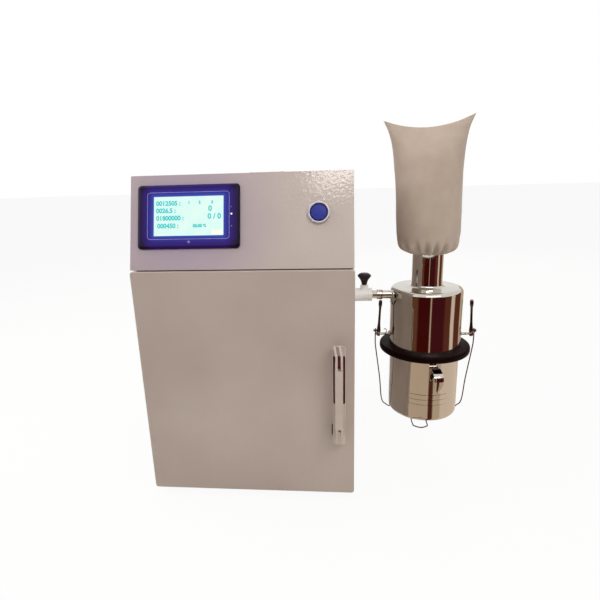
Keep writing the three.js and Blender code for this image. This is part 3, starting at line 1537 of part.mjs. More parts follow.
function clampKnob() {
  const low = ductZ + clampBossLength + fitGap;
  const hubTop = low + clampHubHeight;
  const dome = clampHeadShares.map(([radiusShare, heightShare]) => [
    clampHeadRadius * radiusShare,
    hubTop + clampHeadHeight * heightShare,
  ]);
  const head = turned("z", [
    [0, low],
    [clampHubRadius, low],
    [clampHubRadius * clampWaistShare, hubTop],
    ...dome,
    [0, hubTop + clampHeadHeight],
  ], 20);
  const screwStart = ductZ + pipeRadius + fitGap;
  const screw = rod("z", clampScrewRadius, [0, 0, screwStart], low - screwStart + fitGap, 12);
  return join(head, screw).translate(clampX, ductY, 0);
}

piece(cabinet, "outlet_socket", outletSocket(), castAluminium);
piece(cabinet, "clamp_knob", clampKnob(), blackPlastic);

// Cyclone can with its skirt flange and the hole for the chimney
function cycloneCan() {
  const inner = canRadius - canWall;
  const shoulder = canShoulder;
  const profile = [
    [rimRadius, canSkirt],
    [rimRadius, canSkirt + canWall],
    [canRadius, canSkirt + canWall],
    [canRadius, canTop - shoulder],
    [canRadius - shoulder * roundShare, canTop - shoulder * roundShare],
    [canRadius - shoulder, canTop],
    [chimneyRadius - fitGap, canTop],
    [chimneyRadius - fitGap, canTop - canWall],
    [inner - shoulder, canTop - canWall],
    [inner - shoulder * roundShare, canTop - canWall - shoulder * roundShare],
    [inner, canTop - shoulder - canWall],
    [inner, canSkirt],
  ];
  const holeStart = [-canRadius - overrun, -pipeOffset, pipeZ];
  const pipeHole = rod("x", pipeRadius + fitGap, holeStart, canRadius / 2, 20);
  return join(cut(turned("z", profile, 32), pipeHole), chimney(), ...pivotPins());
}

// Inlet pipe with its ferrule and the saddle that welds it to the can
function inletPipe() {
  const entry = -Math.sqrt(canRadius ** 2 - pipeOffset ** 2);
  const length = entry + 2 * pipeRadius - pipeStart;
  const pipe = rod("x", pipeRadius, [pipeStart, -pipeOffset, pipeZ], length, 20);
  const profile = [
    [0, ferruleFrom],
    [ferruleRadius - ferruleChamfer, ferruleFrom],
    [ferruleRadius, ferruleFrom + ferruleChamfer],
    [ferruleRadius, ferruleFrom + ferruleLength],
    [0, ferruleFrom + ferruleLength],
  ];
  const ferrule = turned("x", profile, 20, [0, -pipeOffset, pipeZ]);
  const patchStart = [entry - (3 * saddleRadius) / 2, -pipeOffset, pipeZ - saddleRadius + pipeRadius];
  const patch = rod("x", saddleRadius, patchStart, 2 * saddleRadius, 20);
  const inner = canRadius + fitGap;
  const wall = tubeProfile(inner + canWall, inner, pipeZ - 2 * saddleRadius, canTop - canShoulder);
  const boreStart = [pipeStart - overrun, -pipeOffset, pipeZ];
  const bore = rod("x", pipeBore, boreStart, canRadius + 2 * canWall - pipeStart + overrun, 20);
  return cut(join(pipe, ferrule, common(patch, turned("z", wall, 32))), bore);
}

function chimney() {
  const inner = chimneyRadius - canWall;
  return turned("z", [
    [inner, chimneyBottom],
    [chimneyRadius, chimneyBottom],
    [chimneyRadius, canTop - canWall / 2],
    [chimneyRadius + 3 * weldBead, canTop - canWall / 2],
    [chimneyRadius + 3 * weldBead, canTop + weldBead / 3],
    [chimneyRadius + weldBead / 2, canTop + weldBead],
    [chimneyRadius, canTop + 3 * weldBead],
    [chimneyRadius, chimneyTop],
    [inner, chimneyTop],
  ], 24);
}

// Rubber ring of U section over the flanges of the can and the cup
function sealRing() {
  const top = ringLow + ringHeight;
  const grooveLow = cupRimTop - canWall - fitGap;
  const grooveTop = canSkirt + canWall + fitGap;
  const inner = canRadius + fitGap;
  const groove = rimRadius + fitGap;
  return turned("z", [
    [inner, ringLow],
    [ringRadius - ringRound, ringLow],
    [ringRadius, ringLow + ringRound],
    [ringRadius, top - ringRound],
    [ringRadius - ringRound, top],
    [inner, top],
    [inner, grooveTop],
    [groove, grooveTop],
    [groove, grooveLow],
    [inner, grooveLow],
  ], 32);
}

function sampleCup() {
  const inner = cupRadius - canWall;
  const profile = [
    [0, cupBottom],
    [cupRadius - cupCorner, cupBottom],
    [cupRadius - cupCorner * roundShare, cupBottom + cupCorner * roundShare],
    [cupRadius, cupBottom + cupCorner],
  ];
  for (let i = 0; i < beadCount; i += 1) {
    const z = beadLow + i * beadPitch;
    const half = beadHeight / 2;
    profile.push([cupRadius, z - half], [cupRadius - beadDepth, z], [cupRadius, z + half]);
  }
  profile.push(
    [cupRadius, cupRimTop - canWall],
    [rimRadius, cupRimTop - canWall],
    [rimRadius, cupRimTop],
    [inner, cupRimTop],
    [inner, cupBottom + cupCorner],
    [inner - cupCorner * (1 - roundShare), cupBottom + canWall],
    [0, cupBottom + canWall],
  );
  return join(turned("z", profile, 32), cupGrip());
}

// Curled strip under the ring, for holding the cup
function cupGrip() {
  const root = cupRadius + fitGap;
  const reach = cupRadius + gripReach;
  const curve = new THREE.CatmullRomCurve3(
    [
      [root + gripThickness / 2, gripTop - gripWidth * gripRootShare],
      [root + gripThickness / 2, gripTop - gripThickness],
      [root + gripReach * gripFlatShare, gripTop - gripThickness],
      [reach - gripThickness, gripKneeZ],
      [reach - gripThickness / 2, (gripKneeZ + gripTipZ) / 2],
      [reach - 2 * gripThickness, gripTipZ],
    ].map(([y, z]) => new THREE.Vector3(0, -y, z)),
    false,
    "centripetal",
  );
  const steps = 18;
  const rings = [];
  for (let i = 0; i <= steps; i += 1) {
    const share = i / steps;
    const point = curve.getPointAt(share);
    const along = curve.getTangentAt(share);
    const thick = new THREE.Vector3(0, -along.z, along.y).multiplyScalar(gripThickness / 2);
    const bend = Math.max(0, (share - gripRoundFromShare) / (1 - gripRoundFromShare));
    const wide = (gripWidth / 2) * Math.min(1, Math.sqrt(1 + gripTipShare ** 2 - bend ** 2));
    rings.push(
      [[-1, -1], [-1, 1], [1, 1], [1, -1]].map(([side, face]) =>
        point.clone().addScaledVector(thick, face).add(new THREE.Vector3(side * wide, 0, 0)),
      ),
    );
  }
  const weldStart = [0, -root - gripThickness / 2, gripTop - gripWidth];
  const weld = rod("y", gripWidth / 4, weldStart, gripReach / 2, 10);
  const inside = rod("z", cupRadius - canWall / 2, [0, 0, cupBottom], cupRimTop - cupBottom, 32);
  return cut(join(loft(rings), weld), inside).rotateZ(gripAngle);
}

// Pivot pins welded to the can's two sides
function pivotPins() {
  const from = canRadius - canWall;
  const to = leverX + leverThickness / 2;
  return [-1, 1].flatMap((side) => {
    const padLength = canWall + pivotRadius;
    const padStart = [side > 0 ? from : -from - padLength, 0, pivotZ];
    const pad = rod("x", pivotRadius * pivotPadShare, padStart, padLength, 16);
    const pin = rod("x", pivotRadius, [side > 0 ? from : -to, 0, pivotZ], to - from, 14);
    return [pad, pin];
  });
}

const crankY = crank * Math.sin(crankAngle);
const crankZ = crank * Math.cos(crankAngle);

// Toggle lever: a hub on the pivot pin, a crank pin for the bail and a slim rod with a barrel end
function lever(side) {
  const inside = leverX - leverThickness / 2;
  const hubs = [
    rod("x", pivotRadius * leverHubShare, [inside, 0, 0], leverThickness, 12),
    rod("x", crankPinRadius * crankHubShare, [inside, crankY, crankZ], leverThickness, 12),
  ];
  const pin = rod("x", crankPinRadius, [inside, crankY, crankZ], crankPinTip - inside, 10);
  const headStart = bailX + wireRadius + 2 * runGap;
  const headLength = crankPinTip - headStart;
  const head = rod("x", crankPinRadius * crankHeadShare, [headStart, crankY, crankZ], headLength, 10);
  const grip = leverKnobRadius * leverKnobLengthShare;
  const barrel = leverKnobShares.map(([radiusShare, depthShare]) => [
    leverKnobRadius * radiusShare,
    leverLength - grip * depthShare,
  ]);
  const stem = turned("z", [
    [0, pivotRadius + leverRoot],
    [leverConeRadius, pivotRadius + leverRoot],
    [leverConeRadius * leverConeShare, crank + leverConeRise],
    [leverRodRadius, crank + leverTaperRise],
    [leverRodRadius, leverLength - grip],
    ...barrel,
    [0, leverLength],
  ], 10).rotateY(-leverLean).translate(leverX, 0, 0);
  const bore = rod("x", pivotRadius + fitGap, [inside - overrun, 0, 0], leverThickness + 2 * overrun, 12);
  const whole = cut(join(...hubs, pin, head, stem), bore);
  return side > 0 ? whole : mirrored(whole);
}

// The same shape on the other side of the X = 0 plane, with its faces turned out again
function mirrored(geometry) {
  const flipped = geometry.clone().scale(-1, 1, 1);
  const corners = flipped.index.array;
  for (let i = 0; i < corners.length; i += 3) {
    [corners[i + 1], corners[i + 2]] = [corners[i + 2], corners[i + 1]];
  }
  return flipped;
}

// Bail: one wire from eye to eye, down both sides, under the cup, with a finger loop before it
function bail() {
  const eye = crankPinRadius + fitGap + wireRadius;
  const low = cupBottom - wireRadius - 2 * fitGap;
  const down = (side) => [
    [side * bailX, 0, pivotZ + crankZ - eye],
    [side * bailX, 0, pivotZ - 2 * crank],
    [side * (bailX - bailBow / 4), 0, ringLow],
    [side * (bailX - 2 * bailBow), 0, (ringLow + cupBottom) / 2],
    [side * (bailX - 3 * bailBow), 0, cupBottom + 3 * bailBow],
    [side * (cupRadius + bailBow), 0, cupBottom + bailBow / 2],
    [side * (cupRadius - bailBow), 0, low],
  ];
  const loopFront = tabRadius - tabReach;
  const points = [
    ...down(-1),
    [tabX - 2 * tabRadius, 0, low],
    [tabX - tabRadius, -tabRadius, low],
    [tabX - tabRadius, loopFront, low],
    [tabX - tabRadius * tabRoundShare, loopFront - tabRadius * tabRoundShare, low],
    [tabX, -tabReach, low],
    [tabX + tabRadius * tabRoundShare, loopFront - tabRadius * tabRoundShare, low],
    [tabX + tabRadius, loopFront, low],
    [tabX + tabRadius, -tabRadius, low],
    [tabX + 2 * tabRadius, 0, low],
    ...down(1).reverse(),
  ].map(([x, y, z]) => [x, y + crankY, z]);
  const eyes = [-1, 1].map((side) => {
    const ring = new THREE.TorusGeometry(eye, wireRadius, 6, 8).rotateY(quarterTurn);
    return ring.translate(side * bailX, crankY, pivotZ + crankZ);
  });
  return join(wire(points, wireRadius, 6, 54), ...eyes);
}

// Filter bag: round above its gathered neck, flattening to a seam with two raised corners
function filterBag() {
  const rings = bagHeightShares.map((share, level) => {
    const halfX = bagHalfWidth * bagWidthShares[level];
    const halfY = bagHalfWidth * bagDepthShares[level];
    const rise = share ** 4;
    return around(bagSides, (angle) => {
      const across = Math.cos(angle);
      const lift = rise * (bagEarLift * across ** 2 + bagSlant * across);
      return new THREE.Vector3(
        bagLean * share + halfX * across,
        halfY * Math.sin(angle),
        bagNeckZ + share * bagHeight + lift,
      );
    });
  });
  const socket = rod("z", chimneyRadius + fitGap, [0, 0, bagNeckZ - overrun], bagSocketDepth + overrun, 24);
  return cut(loft(rings), socket);
}

piece(collector, "cyclone_can", cycloneCan(), polishedSteel);
piece(collector, "inlet_pipe", inletPipe(), polishedSteel);
piece(collector, "seal_ring", sealRing(), blackRubber);
piece(collector, "sample_cup", sampleCup(), polishedSteel);
piece(collector, "lever_left", lever(-1), brushedSteel).position.z = pivotZ;
piece(collector, "lever_right", lever(1), brushedSteel).position.z = pivotZ;
piece(collector, "wire_bail", bail(), brushedSteel);
piece(collector, "filter_bag", filterBag(), beigeCloth);

// The machine stands with the middle of its floor space at the origin
machine.updateMatrixWorld(true);
const extent = new THREE.Box3().setFromObject(machine, true);
const middle = extent.getCenter(new THREE.Vector3());
machine.position.set(-middle.x, -middle.y, -extent.min.z);

export default machine;
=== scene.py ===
import json
import random
from math import atan2, cos, exp, pi, radians, sin, sqrt

import bmesh
import bpy
from mathutils import Matrix, Vector, noise

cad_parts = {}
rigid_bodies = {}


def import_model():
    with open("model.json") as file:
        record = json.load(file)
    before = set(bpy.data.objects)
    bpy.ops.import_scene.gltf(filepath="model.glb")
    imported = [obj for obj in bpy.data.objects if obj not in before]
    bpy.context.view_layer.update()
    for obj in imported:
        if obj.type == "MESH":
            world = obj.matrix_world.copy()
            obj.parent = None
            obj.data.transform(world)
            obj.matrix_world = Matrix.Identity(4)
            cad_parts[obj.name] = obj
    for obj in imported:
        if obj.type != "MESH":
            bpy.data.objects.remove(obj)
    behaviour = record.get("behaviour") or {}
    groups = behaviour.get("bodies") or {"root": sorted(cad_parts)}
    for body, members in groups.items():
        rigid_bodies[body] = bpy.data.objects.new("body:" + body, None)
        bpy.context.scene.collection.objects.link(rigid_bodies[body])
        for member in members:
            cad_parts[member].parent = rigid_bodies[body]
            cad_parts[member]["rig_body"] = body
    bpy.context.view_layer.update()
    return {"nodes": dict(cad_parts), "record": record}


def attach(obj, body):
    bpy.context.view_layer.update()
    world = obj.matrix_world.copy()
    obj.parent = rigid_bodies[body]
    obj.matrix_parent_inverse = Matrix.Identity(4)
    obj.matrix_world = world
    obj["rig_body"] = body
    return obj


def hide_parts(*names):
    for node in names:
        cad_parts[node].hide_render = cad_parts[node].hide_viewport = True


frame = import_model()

MM = 0.001
METRE = 1000.0  # in millimetres
TURN = 2 * pi
CORNER = Vector((-95.1136, -177.55, 12.0))  # the cabinet's own zero point, in millimetres
SLOTS = {row["node"]: row["material_slot"] for row in frame["record"]["subparts"]}


def place(x, y, z):
    """A point given in the cabinet's own millimetres."""
    return (Vector((x, y, z)) + CORNER) * MM


PANEL_TILT = radians(16.4)
PANEL = Matrix.Translation(place(0, 2, 336.6)) @ Matrix.Rotation(-PANEL_TILT, 4, "X")
OUTWARD = Matrix.Rotation(pi / 2, 4, "X")  # lays an upward axis down, toward the front
CAN_X, CAN_Y = 264.1, 110.0
CAN_ORIGIN = place(CAN_X, CAN_Y, 0.0)
CAN = Matrix.Translation(CAN_ORIGIN)


def on_panel(x, s, out=0.0):
    """A point on the sloping panel: across it, up it and out of it, in millimetres."""
    return PANEL @ (Vector((x, -out, s)) * MM)


def linear(colour):
    """A colour of 0 to 255 per channel as the shader's linear values."""
    made = []
    for value in colour:
        share = value / 255
        made.append(share / 12.92 if share <= 0.04045 else ((share + 0.055) / 1.055) ** 2.4)
    return (*made, 1.0)


# Materials
NOISE_LOW, NOISE_HIGH = 0.3, 0.7  # nearly all values of a noise lie between these
WEAR_FULL, WEAR_GONE = 0.27, 0.34


def add(tree, kind, settings=None, inputs=None):
    """A new node, with its settings and the values of its inputs."""
    made = tree.nodes.new(kind)
    for key, value in (settings or {}).items():
        setattr(made, key, value)
    for key, value in (inputs or {}).items():
        made.inputs[key].default_value = value
    return made


def blank(name):
    """A new material with its node tree and its shader."""
    made = bpy.data.materials.new(name)
    made.use_nodes = True
    return made, *inside(made)


def inside(made):
    """The node tree and the shader of a material."""
    return made.node_tree, made.node_tree.nodes["Principled BSDF"]


def ramp(tree, source, stops):
    """The tone that a value has on a colour ramp; stops are places with colours of 0 to 255."""
    made = add(tree, "ShaderNodeValToRGB")
    elements = made.color_ramp.elements
    while len(elements) > 1:
        elements.remove(elements[-1])
    for index, (spot, colour) in enumerate(stops):
        element = elements[0] if index == 0 else elements.new(spot)
        element.position = spot
        element.color = linear(colour)
    tree.links.new(source, made.inputs["Fac"])
    return made.outputs["Color"]


def own_place(tree):
    """The piece's own coordinates, which are metres."""
    return add(tree, "ShaderNodeTexCoord").outputs["Object"]


def vector_math(tree, operation, source, value=None):
    made = add(tree, "ShaderNodeVectorMath", {"operation": operation}, {1: value} if value else None)
    tree.links.new(source, made.inputs[0])
    return made.outputs["Value" if operation in ("LENGTH", "DISTANCE") else "Vector"]


def noise_of(tree, scale, detail, stretch=None):
    source = own_place(tree)
    if stretch:
        mapping = add(tree, "ShaderNodeMapping", inputs={"Scale": stretch})
        tree.links.new(source, mapping.inputs["Vector"])
        source = mapping.outputs["Vector"]
    made = add(tree, "ShaderNodeTexNoise", inputs={"Scale": scale, "Detail": detail})
    tree.links.new(source, made.inputs["Vector"])
    return made.outputs["Fac"]


def remap(tree, source, **limits):
    """A value moved from one range to another; limits are From_Min, To_Max and so on."""
    inputs = {key.replace("_", " "): value for key, value in limits.items()}
    made = add(tree, "ShaderNodeMapRange", inputs=inputs)
    tree.links.new(source, made.inputs["Value"])
    return made.outputs["Result"]


def mixed(tree, share, first, second):
    """A tone between two others, which are links or plain colours."""
    made = add(tree, "ShaderNodeMix", {"data_type": "RGBA"})
    tree.links.new(share, made.inputs["Factor"])
    for key, tone in (("A", first), ("B", second)):
        if isinstance(tone, tuple):
            made.inputs[key].default_value = tone
        else:
            tree.links.new(tone, made.inputs[key])
    return made.outputs["Result"]


def bump(tree, source, depth, below=None):
    made = add(tree, "ShaderNodeBump", inputs={"Strength": 1.0, "Distance": depth * MM})
    tree.links.new(source, made.inputs["Height"])
    if below:
        tree.links.new(below, made.inputs["Normal"])
    return made.outputs["Normal"]


def material(name, dark, light, patch, rough, grain, depth, stretch=None, wear=None, **shader):
    """A finish that drifts between two colours, with grain in its gloss and in its relief.

    patch and grain are sizes in millimetres, rough is the range of the roughness and depth the
    height of the grain. wear is a rarer third colour.
    """
    made, tree, surface = blank(name)
    for key, value in shader.items():
        surface.inputs[key.replace("_", " ")].default_value = value
    drift = noise_of(tree, METRE / patch, 4.0, stretch)
    stops = [(NOISE_LOW, dark), (NOISE_HIGH, light)]
    if wear:
        stops = [(WEAR_FULL, wear), (WEAR_GONE, dark), (NOISE_HIGH, light)]
    tree.links.new(ramp(tree, drift, stops), surface.inputs["Base Color"])
    fine = noise_of(tree, METRE / grain, 2.0, stretch)
    gloss = remap(tree, drift, From_Min=NOISE_LOW, From_Max=NOISE_HIGH, To_Min=rough[0], To_Max=rough[1])
    tree.links.new(gloss, surface.inputs["Roughness"])
    tree.links.new(bump(tree, fine, depth), surface.inputs["Normal"])
    return made


def powder_coat(name):
    """Light grey paint with the soft dimples of powder coating under a clear gloss."""
    dimple, dimple_depth, fleck, fleck_depth = 4.2, 0.2, 0.7, 0.02
    made = material(
        name, (181, 166, 158), (188, 174, 166), 90, (0.42, 0.5), dimple, dimple_depth,
        Coat_Weight=0.8, Coat_Roughness=0.03,
    )
    tree, surface = inside(made)
    dimples = surface.inputs["Normal"].links[0].from_socket
    relief = bump(tree, noise_of(tree, METRE / fleck, 1.0), fleck_depth, dimples)
    tree.links.new(relief, surface.inputs["Normal"])
    tree.links.new(relief, surface.inputs["Coat Normal"])
    return made


def panel_painted_screen_glow():
    """The same paint with painted light: its colour turns faintly lavender round the screen, as if lit by
    the screen's glow.
    """
    made = powder_coat("powder_coat_painted_screen_glow")
    tree, surface = inside(made)
    near, far, share = 0.05, 0.155, 0.9
    away = vector_math(tree, "DISTANCE", own_place(tree), on_panel(-82, 66))
    # painted light: the screen's glow, mixed into the paint's colour by distance from the screen
    painted_glow = remap(tree, away, From_Min=far, From_Max=near, To_Max=share)
    paint = surface.inputs["Base Color"].links[0].from_socket
    tree.links.new(mixed(tree, painted_glow, paint, linear((166, 149, 166))), surface.inputs["Base Color"])
    return made


def weave(name, dark, light):
    """Plain-woven cloth: two crossing sets of threads over a soft change of tone."""
    spacing, thread = 6.2, 0.035
    made = material(name, dark, light, 26, (0.82, 0.95), 3.0, 0.12, Sheen_Weight=0.25, Sheen_Roughness=0.5)
    tree, surface = inside(made)
    coordinates = own_place(tree)
    below = surface.inputs["Normal"].links[0].from_socket
    for axis in ("X", "Z"):
        threads = add(
            tree, "ShaderNodeTexWave", {"bands_direction": axis},
            {"Scale": METRE / spacing, "Distortion": 0.6, "Detail": 1.0, "Detail Scale": 2.0},
        )
        tree.links.new(coordinates, threads.inputs["Vector"])
        below = bump(tree, threads.outputs["Fac"], thread, below)
    tree.links.new(below, surface.inputs["Normal"])
    return made


def lit(name, stops, scale, strength=1.0):
    """A face that glows by itself, in tones that drift over it."""
    made, tree, surface = blank(name)
    surface.inputs["Roughness"].default_value = 0.25
    surface.inputs["Base Color"].default_value = linear((12, 20, 24))
    surface.inputs["Emission Strength"].default_value = strength
    tree.links.new(ramp(tree, noise_of(tree, scale, 2.0), stops), surface.inputs["Emission Color"])
    return made


def bezel_painted_glow():
    """Dark moulding with a painted glow: it glows by itself, blue by the picture and near black at its
    outer rim, as if lit by the screen.
    """
    made = material(
        "bezel_painted_glow", (12, 2, 26), (18, 4, 36), 40, (0.3, 0.42), 0.8, 0.01, Specular_IOR_Level=0.18,
    )
    tree, surface = inside(made)
    middle, half_picture, reach = on_panel(-68.5, 71.6, 5), (0.0470, 0.0080, 0.0250), 0.021
    apart = vector_math(tree, "ABSOLUTE", vector_math(tree, "SUBTRACT", own_place(tree), middle))
    beyond = vector_math(tree, "SUBTRACT", apart, half_picture)
    outside = vector_math(tree, "MAXIMUM", beyond, (0.0, 0.0, 0.0))
    share = remap(tree, vector_math(tree, "LENGTH", outside), From_Max=reach)
    stops = (
        (0.0, (60, 86, 196)), (0.2, (46, 54, 164)), (0.45, (44, 26, 126)),
        (0.72, (36, 8, 92)), (0.88, (20, 0, 48)), (1.0, (5, 0, 12)),
    )
    # painted light: this emission stands in for the screen's glow falling on the moulding
    tree.links.new(ramp(tree, share, stops), surface.inputs["Emission Color"])
    surface.inputs["Emission Strength"].default_value = 0.75
    return made


MATERIALS = {
    "grey_paint": powder_coat("powder_coat"),
    "polished_steel": material(
        "polished_steel", (196, 190, 180), (206, 201, 192), 60, (0.045, 0.085), 9, 0.012,
        stretch=(1, 1, 0.35), Metallic=1.0,
    ),
    "brushed_steel": material(
        "brushed_steel", (160, 156, 152), (184, 180, 175), 5, (0.24, 0.36), 0.8, 0.01,
        stretch=(1, 1, 0.08), Metallic=1.0,
    ),
    "cast_aluminium": material(
        "cast_aluminium", (176, 176, 178), (190, 190, 191), 12, (0.36, 0.5), 0.9, 0.03, Metallic=1.0,
    ),
    "black_rubber": material(
        "black_rubber", (16, 3, 4), (25, 5, 6), 14, (0.4, 0.52), 1.4, 0.03, wear=(36, 14, 16),
        Specular_IOR_Level=0.04,
    ),
    "black_plastic": material(
        "black_plastic", (26, 14, 18), (36, 20, 24), 9, (0.38, 0.5), 0.6, 0.015, Specular_IOR_Level=0.3,
    ),
    "blue_plastic": material(
        "blue_plastic", (38, 48, 136), (48, 58, 150), 11, (0.34, 0.44), 1.2, 0.01, Specular_IOR_Level=0.2,
    ),
    "screen_glass": lit("screen_glass", [(0.35, (222, 250, 240)), (0.65, (212, 246, 240))], 60),
    "grey_foam": material("grey_foam", (44, 44, 48), (72, 72, 76), 3, (0.9, 1.0), 2.2, 0.9),
    "beige_cloth": weave("filter_cloth", (173, 156, 142), (183, 167, 153)),
    "motor_paint": material("motor_enamel", (80, 94, 104), (94, 108, 118), 22, (0.34, 0.46), 1.6, 0.05),
}
STEEL, BLACK = MATERIALS["polished_steel"], MATERIALS["black_plastic"]
PAINTED_HANDLE = material(
    "handle_enamel", (188, 173, 163), (197, 183, 173), 30, (0.34, 0.44), 1.6, 0.02, Coat_Weight=0.2,
)
WHITE_ENAMEL = material(
    "white_enamel", (228, 225, 221), (238, 236, 233), 24, (0.28, 0.38), 1.8, 0.02, Coat_Weight=0.3,
)
# painted shade: the dark red of the dish in the handle's recess stands in for the shade there
RECESS_PAINTED_SHADE = material("recess_painted_shade", (78, 17, 21), (94, 23, 27), 7, (0.42, 0.55), 1.0, 0.03)
SATIN_RING = material(
    "satin_ring", (178, 172, 184), (194, 188, 199), 8, (0.34, 0.46), 0.7, 0.01, Metallic=0.4,
)
# the bezel's dark moulding, with the screen's glow painted in as emission
BEZEL_PAINTED_GLOW = bezel_painted_glow()
INK = lit("screen_ink", [(0.35, (10, 206, 204)), (0.65, (30, 196, 196))], 300)
PRINT = material("bezel_print", (142, 138, 200), (160, 156, 216), 6, (0.4, 0.5), 0.8, 0.004)
LAMP_ON = lit("lamp_on", [(0.3, (255, 255, 196)), (0.7, (240, 255, 210))], 900, 1.3)
LAMP_OFF = material("lamp_off", (112, 104, 150), (128, 120, 166), 2, (0.2, 0.3), 0.4, 0.004)
SCREEN_KEY = lit("screen_key", [(0.3, (250, 250, 232)), (0.7, (244, 250, 236))], 200)
WELD = material(
    "weld_bead", (150, 140, 126), (196, 188, 176), 2.2, (0.18, 0.34), 1.3, 0.09, Metallic=1.0,
)
DARK_STEEL = material(
    "tinted_steel", (92, 74, 70), (112, 92, 86), 7, (0.14, 0.24), 1.6, 0.008,
    stretch=(1, 1, 0.3), Metallic=1.0,
)


# Pieces
def linked(name, data):
    """A new object in the scene."""
    obj = bpy.data.objects.new(name, data)
    bpy.context.scene.collection.objects.link(obj)
    return obj


def ride_on(obj, body, replaces=()):
    """Lets a piece move with its body, in place of the solids that it replaces."""
    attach(obj, body)
    if replaces:
        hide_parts(*replaces)


def shown(name, mesh, finish, body, smooth=32.0, replaces=()):
    """Puts a mesh in the scene, rounds its shading and lets it ride on its body."""
    obj = linked(name, mesh)
    mesh.materials.clear()
    mesh.materials.append(finish)
    mesh.shade_smooth()
    mesh.set_sharp_from_angle(angle=radians(smooth))
    ride_on(obj, body, replaces)
    return obj


def built(name, form, finish, body, smooth=32.0, replaces=()):
    """A piece from a form, which is a list of points in metres and a list of faces.

    Doubled points are welded and the faces turned outward.
    """
    vertices, faces = form
    mesh = bpy.data.meshes.new(name)
    mesh.from_pydata([tuple(v) for v in vertices], [], faces)
    work = bmesh.new()
    work.from_mesh(mesh)
    bmesh.ops.remove_doubles(work, verts=work.verts, dist=1e-7)
    bmesh.ops.dissolve_degenerate(work, dist=1e-8, edges=work.edges)
    bmesh.ops.recalc_face_normals(work, faces=work.faces)
    work.to_mesh(mesh)
    work.free()
    return shown(name, mesh, finish, body, smooth, replaces)


def stand_in(node, form, finish, smooth):
    """A piece in place of a node, on the node's own body."""
    body = frame["nodes"][node]["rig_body"]
    return built(f"{node}_form", form, finish, body, smooth, [node])


def soften(obj, width):
    """A small round on every sharp edge."""
    modifier = obj.modifiers.new("edges", "BEVEL")
    modifier.width = width * MM
    modifier.segments = 2
    modifier.limit_method = "ANGLE"
    modifier.angle_limit = radians(40)
    modifier.harden_normals = True


def quads(rows, columns, wrap_rows=False, wrap_columns=True):
    """Faces between rows of points; a wrapped direction also joins its last row to its first."""
    faces = []
    for row in range(rows if wrap_rows else rows - 1):
        here, there = row * columns, (row + 1) % rows * columns
        for column in range(columns if wrap_columns else columns - 1):
            other = (column + 1) % columns
            faces.append((here + column, there + column, there + other, here + other))
    return faces


ALONG_X = Matrix(((0, 0, 1, 0), (1, 0, 0, 0), (0, 1, 0, 0), (0, 0, 0, 1)))


def moved(x, y, z):
    return Matrix.Translation(Vector((x, y, z)) * MM)


def turned(profile, matrix, segments=96):
    """A form turned about the Z of a frame; the profile gives radius and height in millimetres.

    A profile that starts on the axis also ends there, and every other one is closed.
    """
    closed = profile[0][0] > 0
    vertices = []
    for step in range(segments):
        angle = TURN * step / segments
        for radius, height in profile:
            point = Vector((radius * cos(angle), radius * sin(angle), height)) * MM
            vertices.append(matrix @ point)
    return vertices, quads(segments, len(profile), True, closed)


def merged(*forms):
    """Several forms as one."""
    vertices, faces = [], []
    for points, polygons in forms:
        start = len(vertices)
        vertices += points
        faces += [tuple(start + corner for corner in face) for face in polygons]
    return vertices, faces


def arc(centre, radius, start, end, steps=8):
    """Points of an arc in a profile; angles in degrees from the outward direction."""
    angles = [radians(start + (end - start) * i / steps) for i in range(steps + 1)]
    return [(centre[0] + radius * cos(a), centre[1] + radius * sin(a)) for a in angles]


def rounded(left, low, right, high, radius):
    """Corner points of a rectangle with round corners, counter-clockwise."""
    near, far, under, over = left + radius, right - radius, low + radius, high - radius
    centres = ((far, under, -90), (far, over, 0), (near, over, 90), (near, under, 180))
    return [point for x, s, start in centres for point in arc((x, s), radius, start, start + 90, 6)]


def through(points, steps):
    """A smooth line through points, as many points more closely spaced."""
    controls = [Vector(p) for p in points]
    controls = [controls[0] * 2 - controls[1], *controls, controls[-1] * 2 - controls[-2]]
    line = []
    for a, b, c, d in zip(controls, controls[1:], controls[2:], controls[3:]):
        for k in range(steps):
            t = k / steps
            curve = (2 * a - 5 * b + 4 * c - d) * t * t + (3 * b - a - 3 * c + d) * t**3
            line.append(0.5 * (2 * b + (c - a) * t + curve))
    line.append(controls[-2])
    return line


def wire(name, points, radius, finish, body, steps, replaces=()):
    """A round wire along a smooth line of points in metres."""
    curve = bpy.data.curves.new(name, "CURVE")
    curve.dimensions = "3D"
    curve.bevel_depth = radius * MM
    curve.bevel_resolution = 4
    curve.use_fill_caps = True
    line = through(points, steps)
    spline = curve.splines.new("POLY")
    spline.points.add(len(line) - 1)
    for spot, point in zip(spline.points, line):
        spot.co = (*point, 1.0)
    spline.use_smooth = True
    curve.materials.append(finish)
    ride_on(linked(name, curve), body, replaces)


def block(low, high, matrix=Matrix.Translation(CORNER * MM)):
    """A box between two corners in millimetres, in the cabinet's frame or another."""
    corners = [
        matrix @ (Vector((x, y, z)) * MM)
        for z in (low[2], high[2])
        for y in (low[1], high[1])
        for x in (low[0], high[0])
    ]
    return corners, [(0, 2, 3, 1), (4, 5, 7, 6), (0, 1, 5, 4), (2, 6, 7, 3), (0, 4, 6, 2), (1, 3, 7, 5)]


def dressed(node, finish, bevel):
    """A node's own form with welded points, small rounds on its edges and its real finish."""
    source = frame["nodes"][node]
    mesh = source.data.copy()
    work = bmesh.new()
    work.from_mesh(mesh)
    bmesh.ops.remove_doubles(work, verts=work.verts, dist=2e-6)
    bmesh.ops.dissolve_limit(work, angle_limit=radians(0.6), verts=work.verts, edges=work.edges)
    work.to_mesh(mesh)
    work.free()
    obj = shown(f"{node}_form", mesh, finish, source["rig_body"], replaces=[node])
    if bevel:
        soften(obj, bevel)


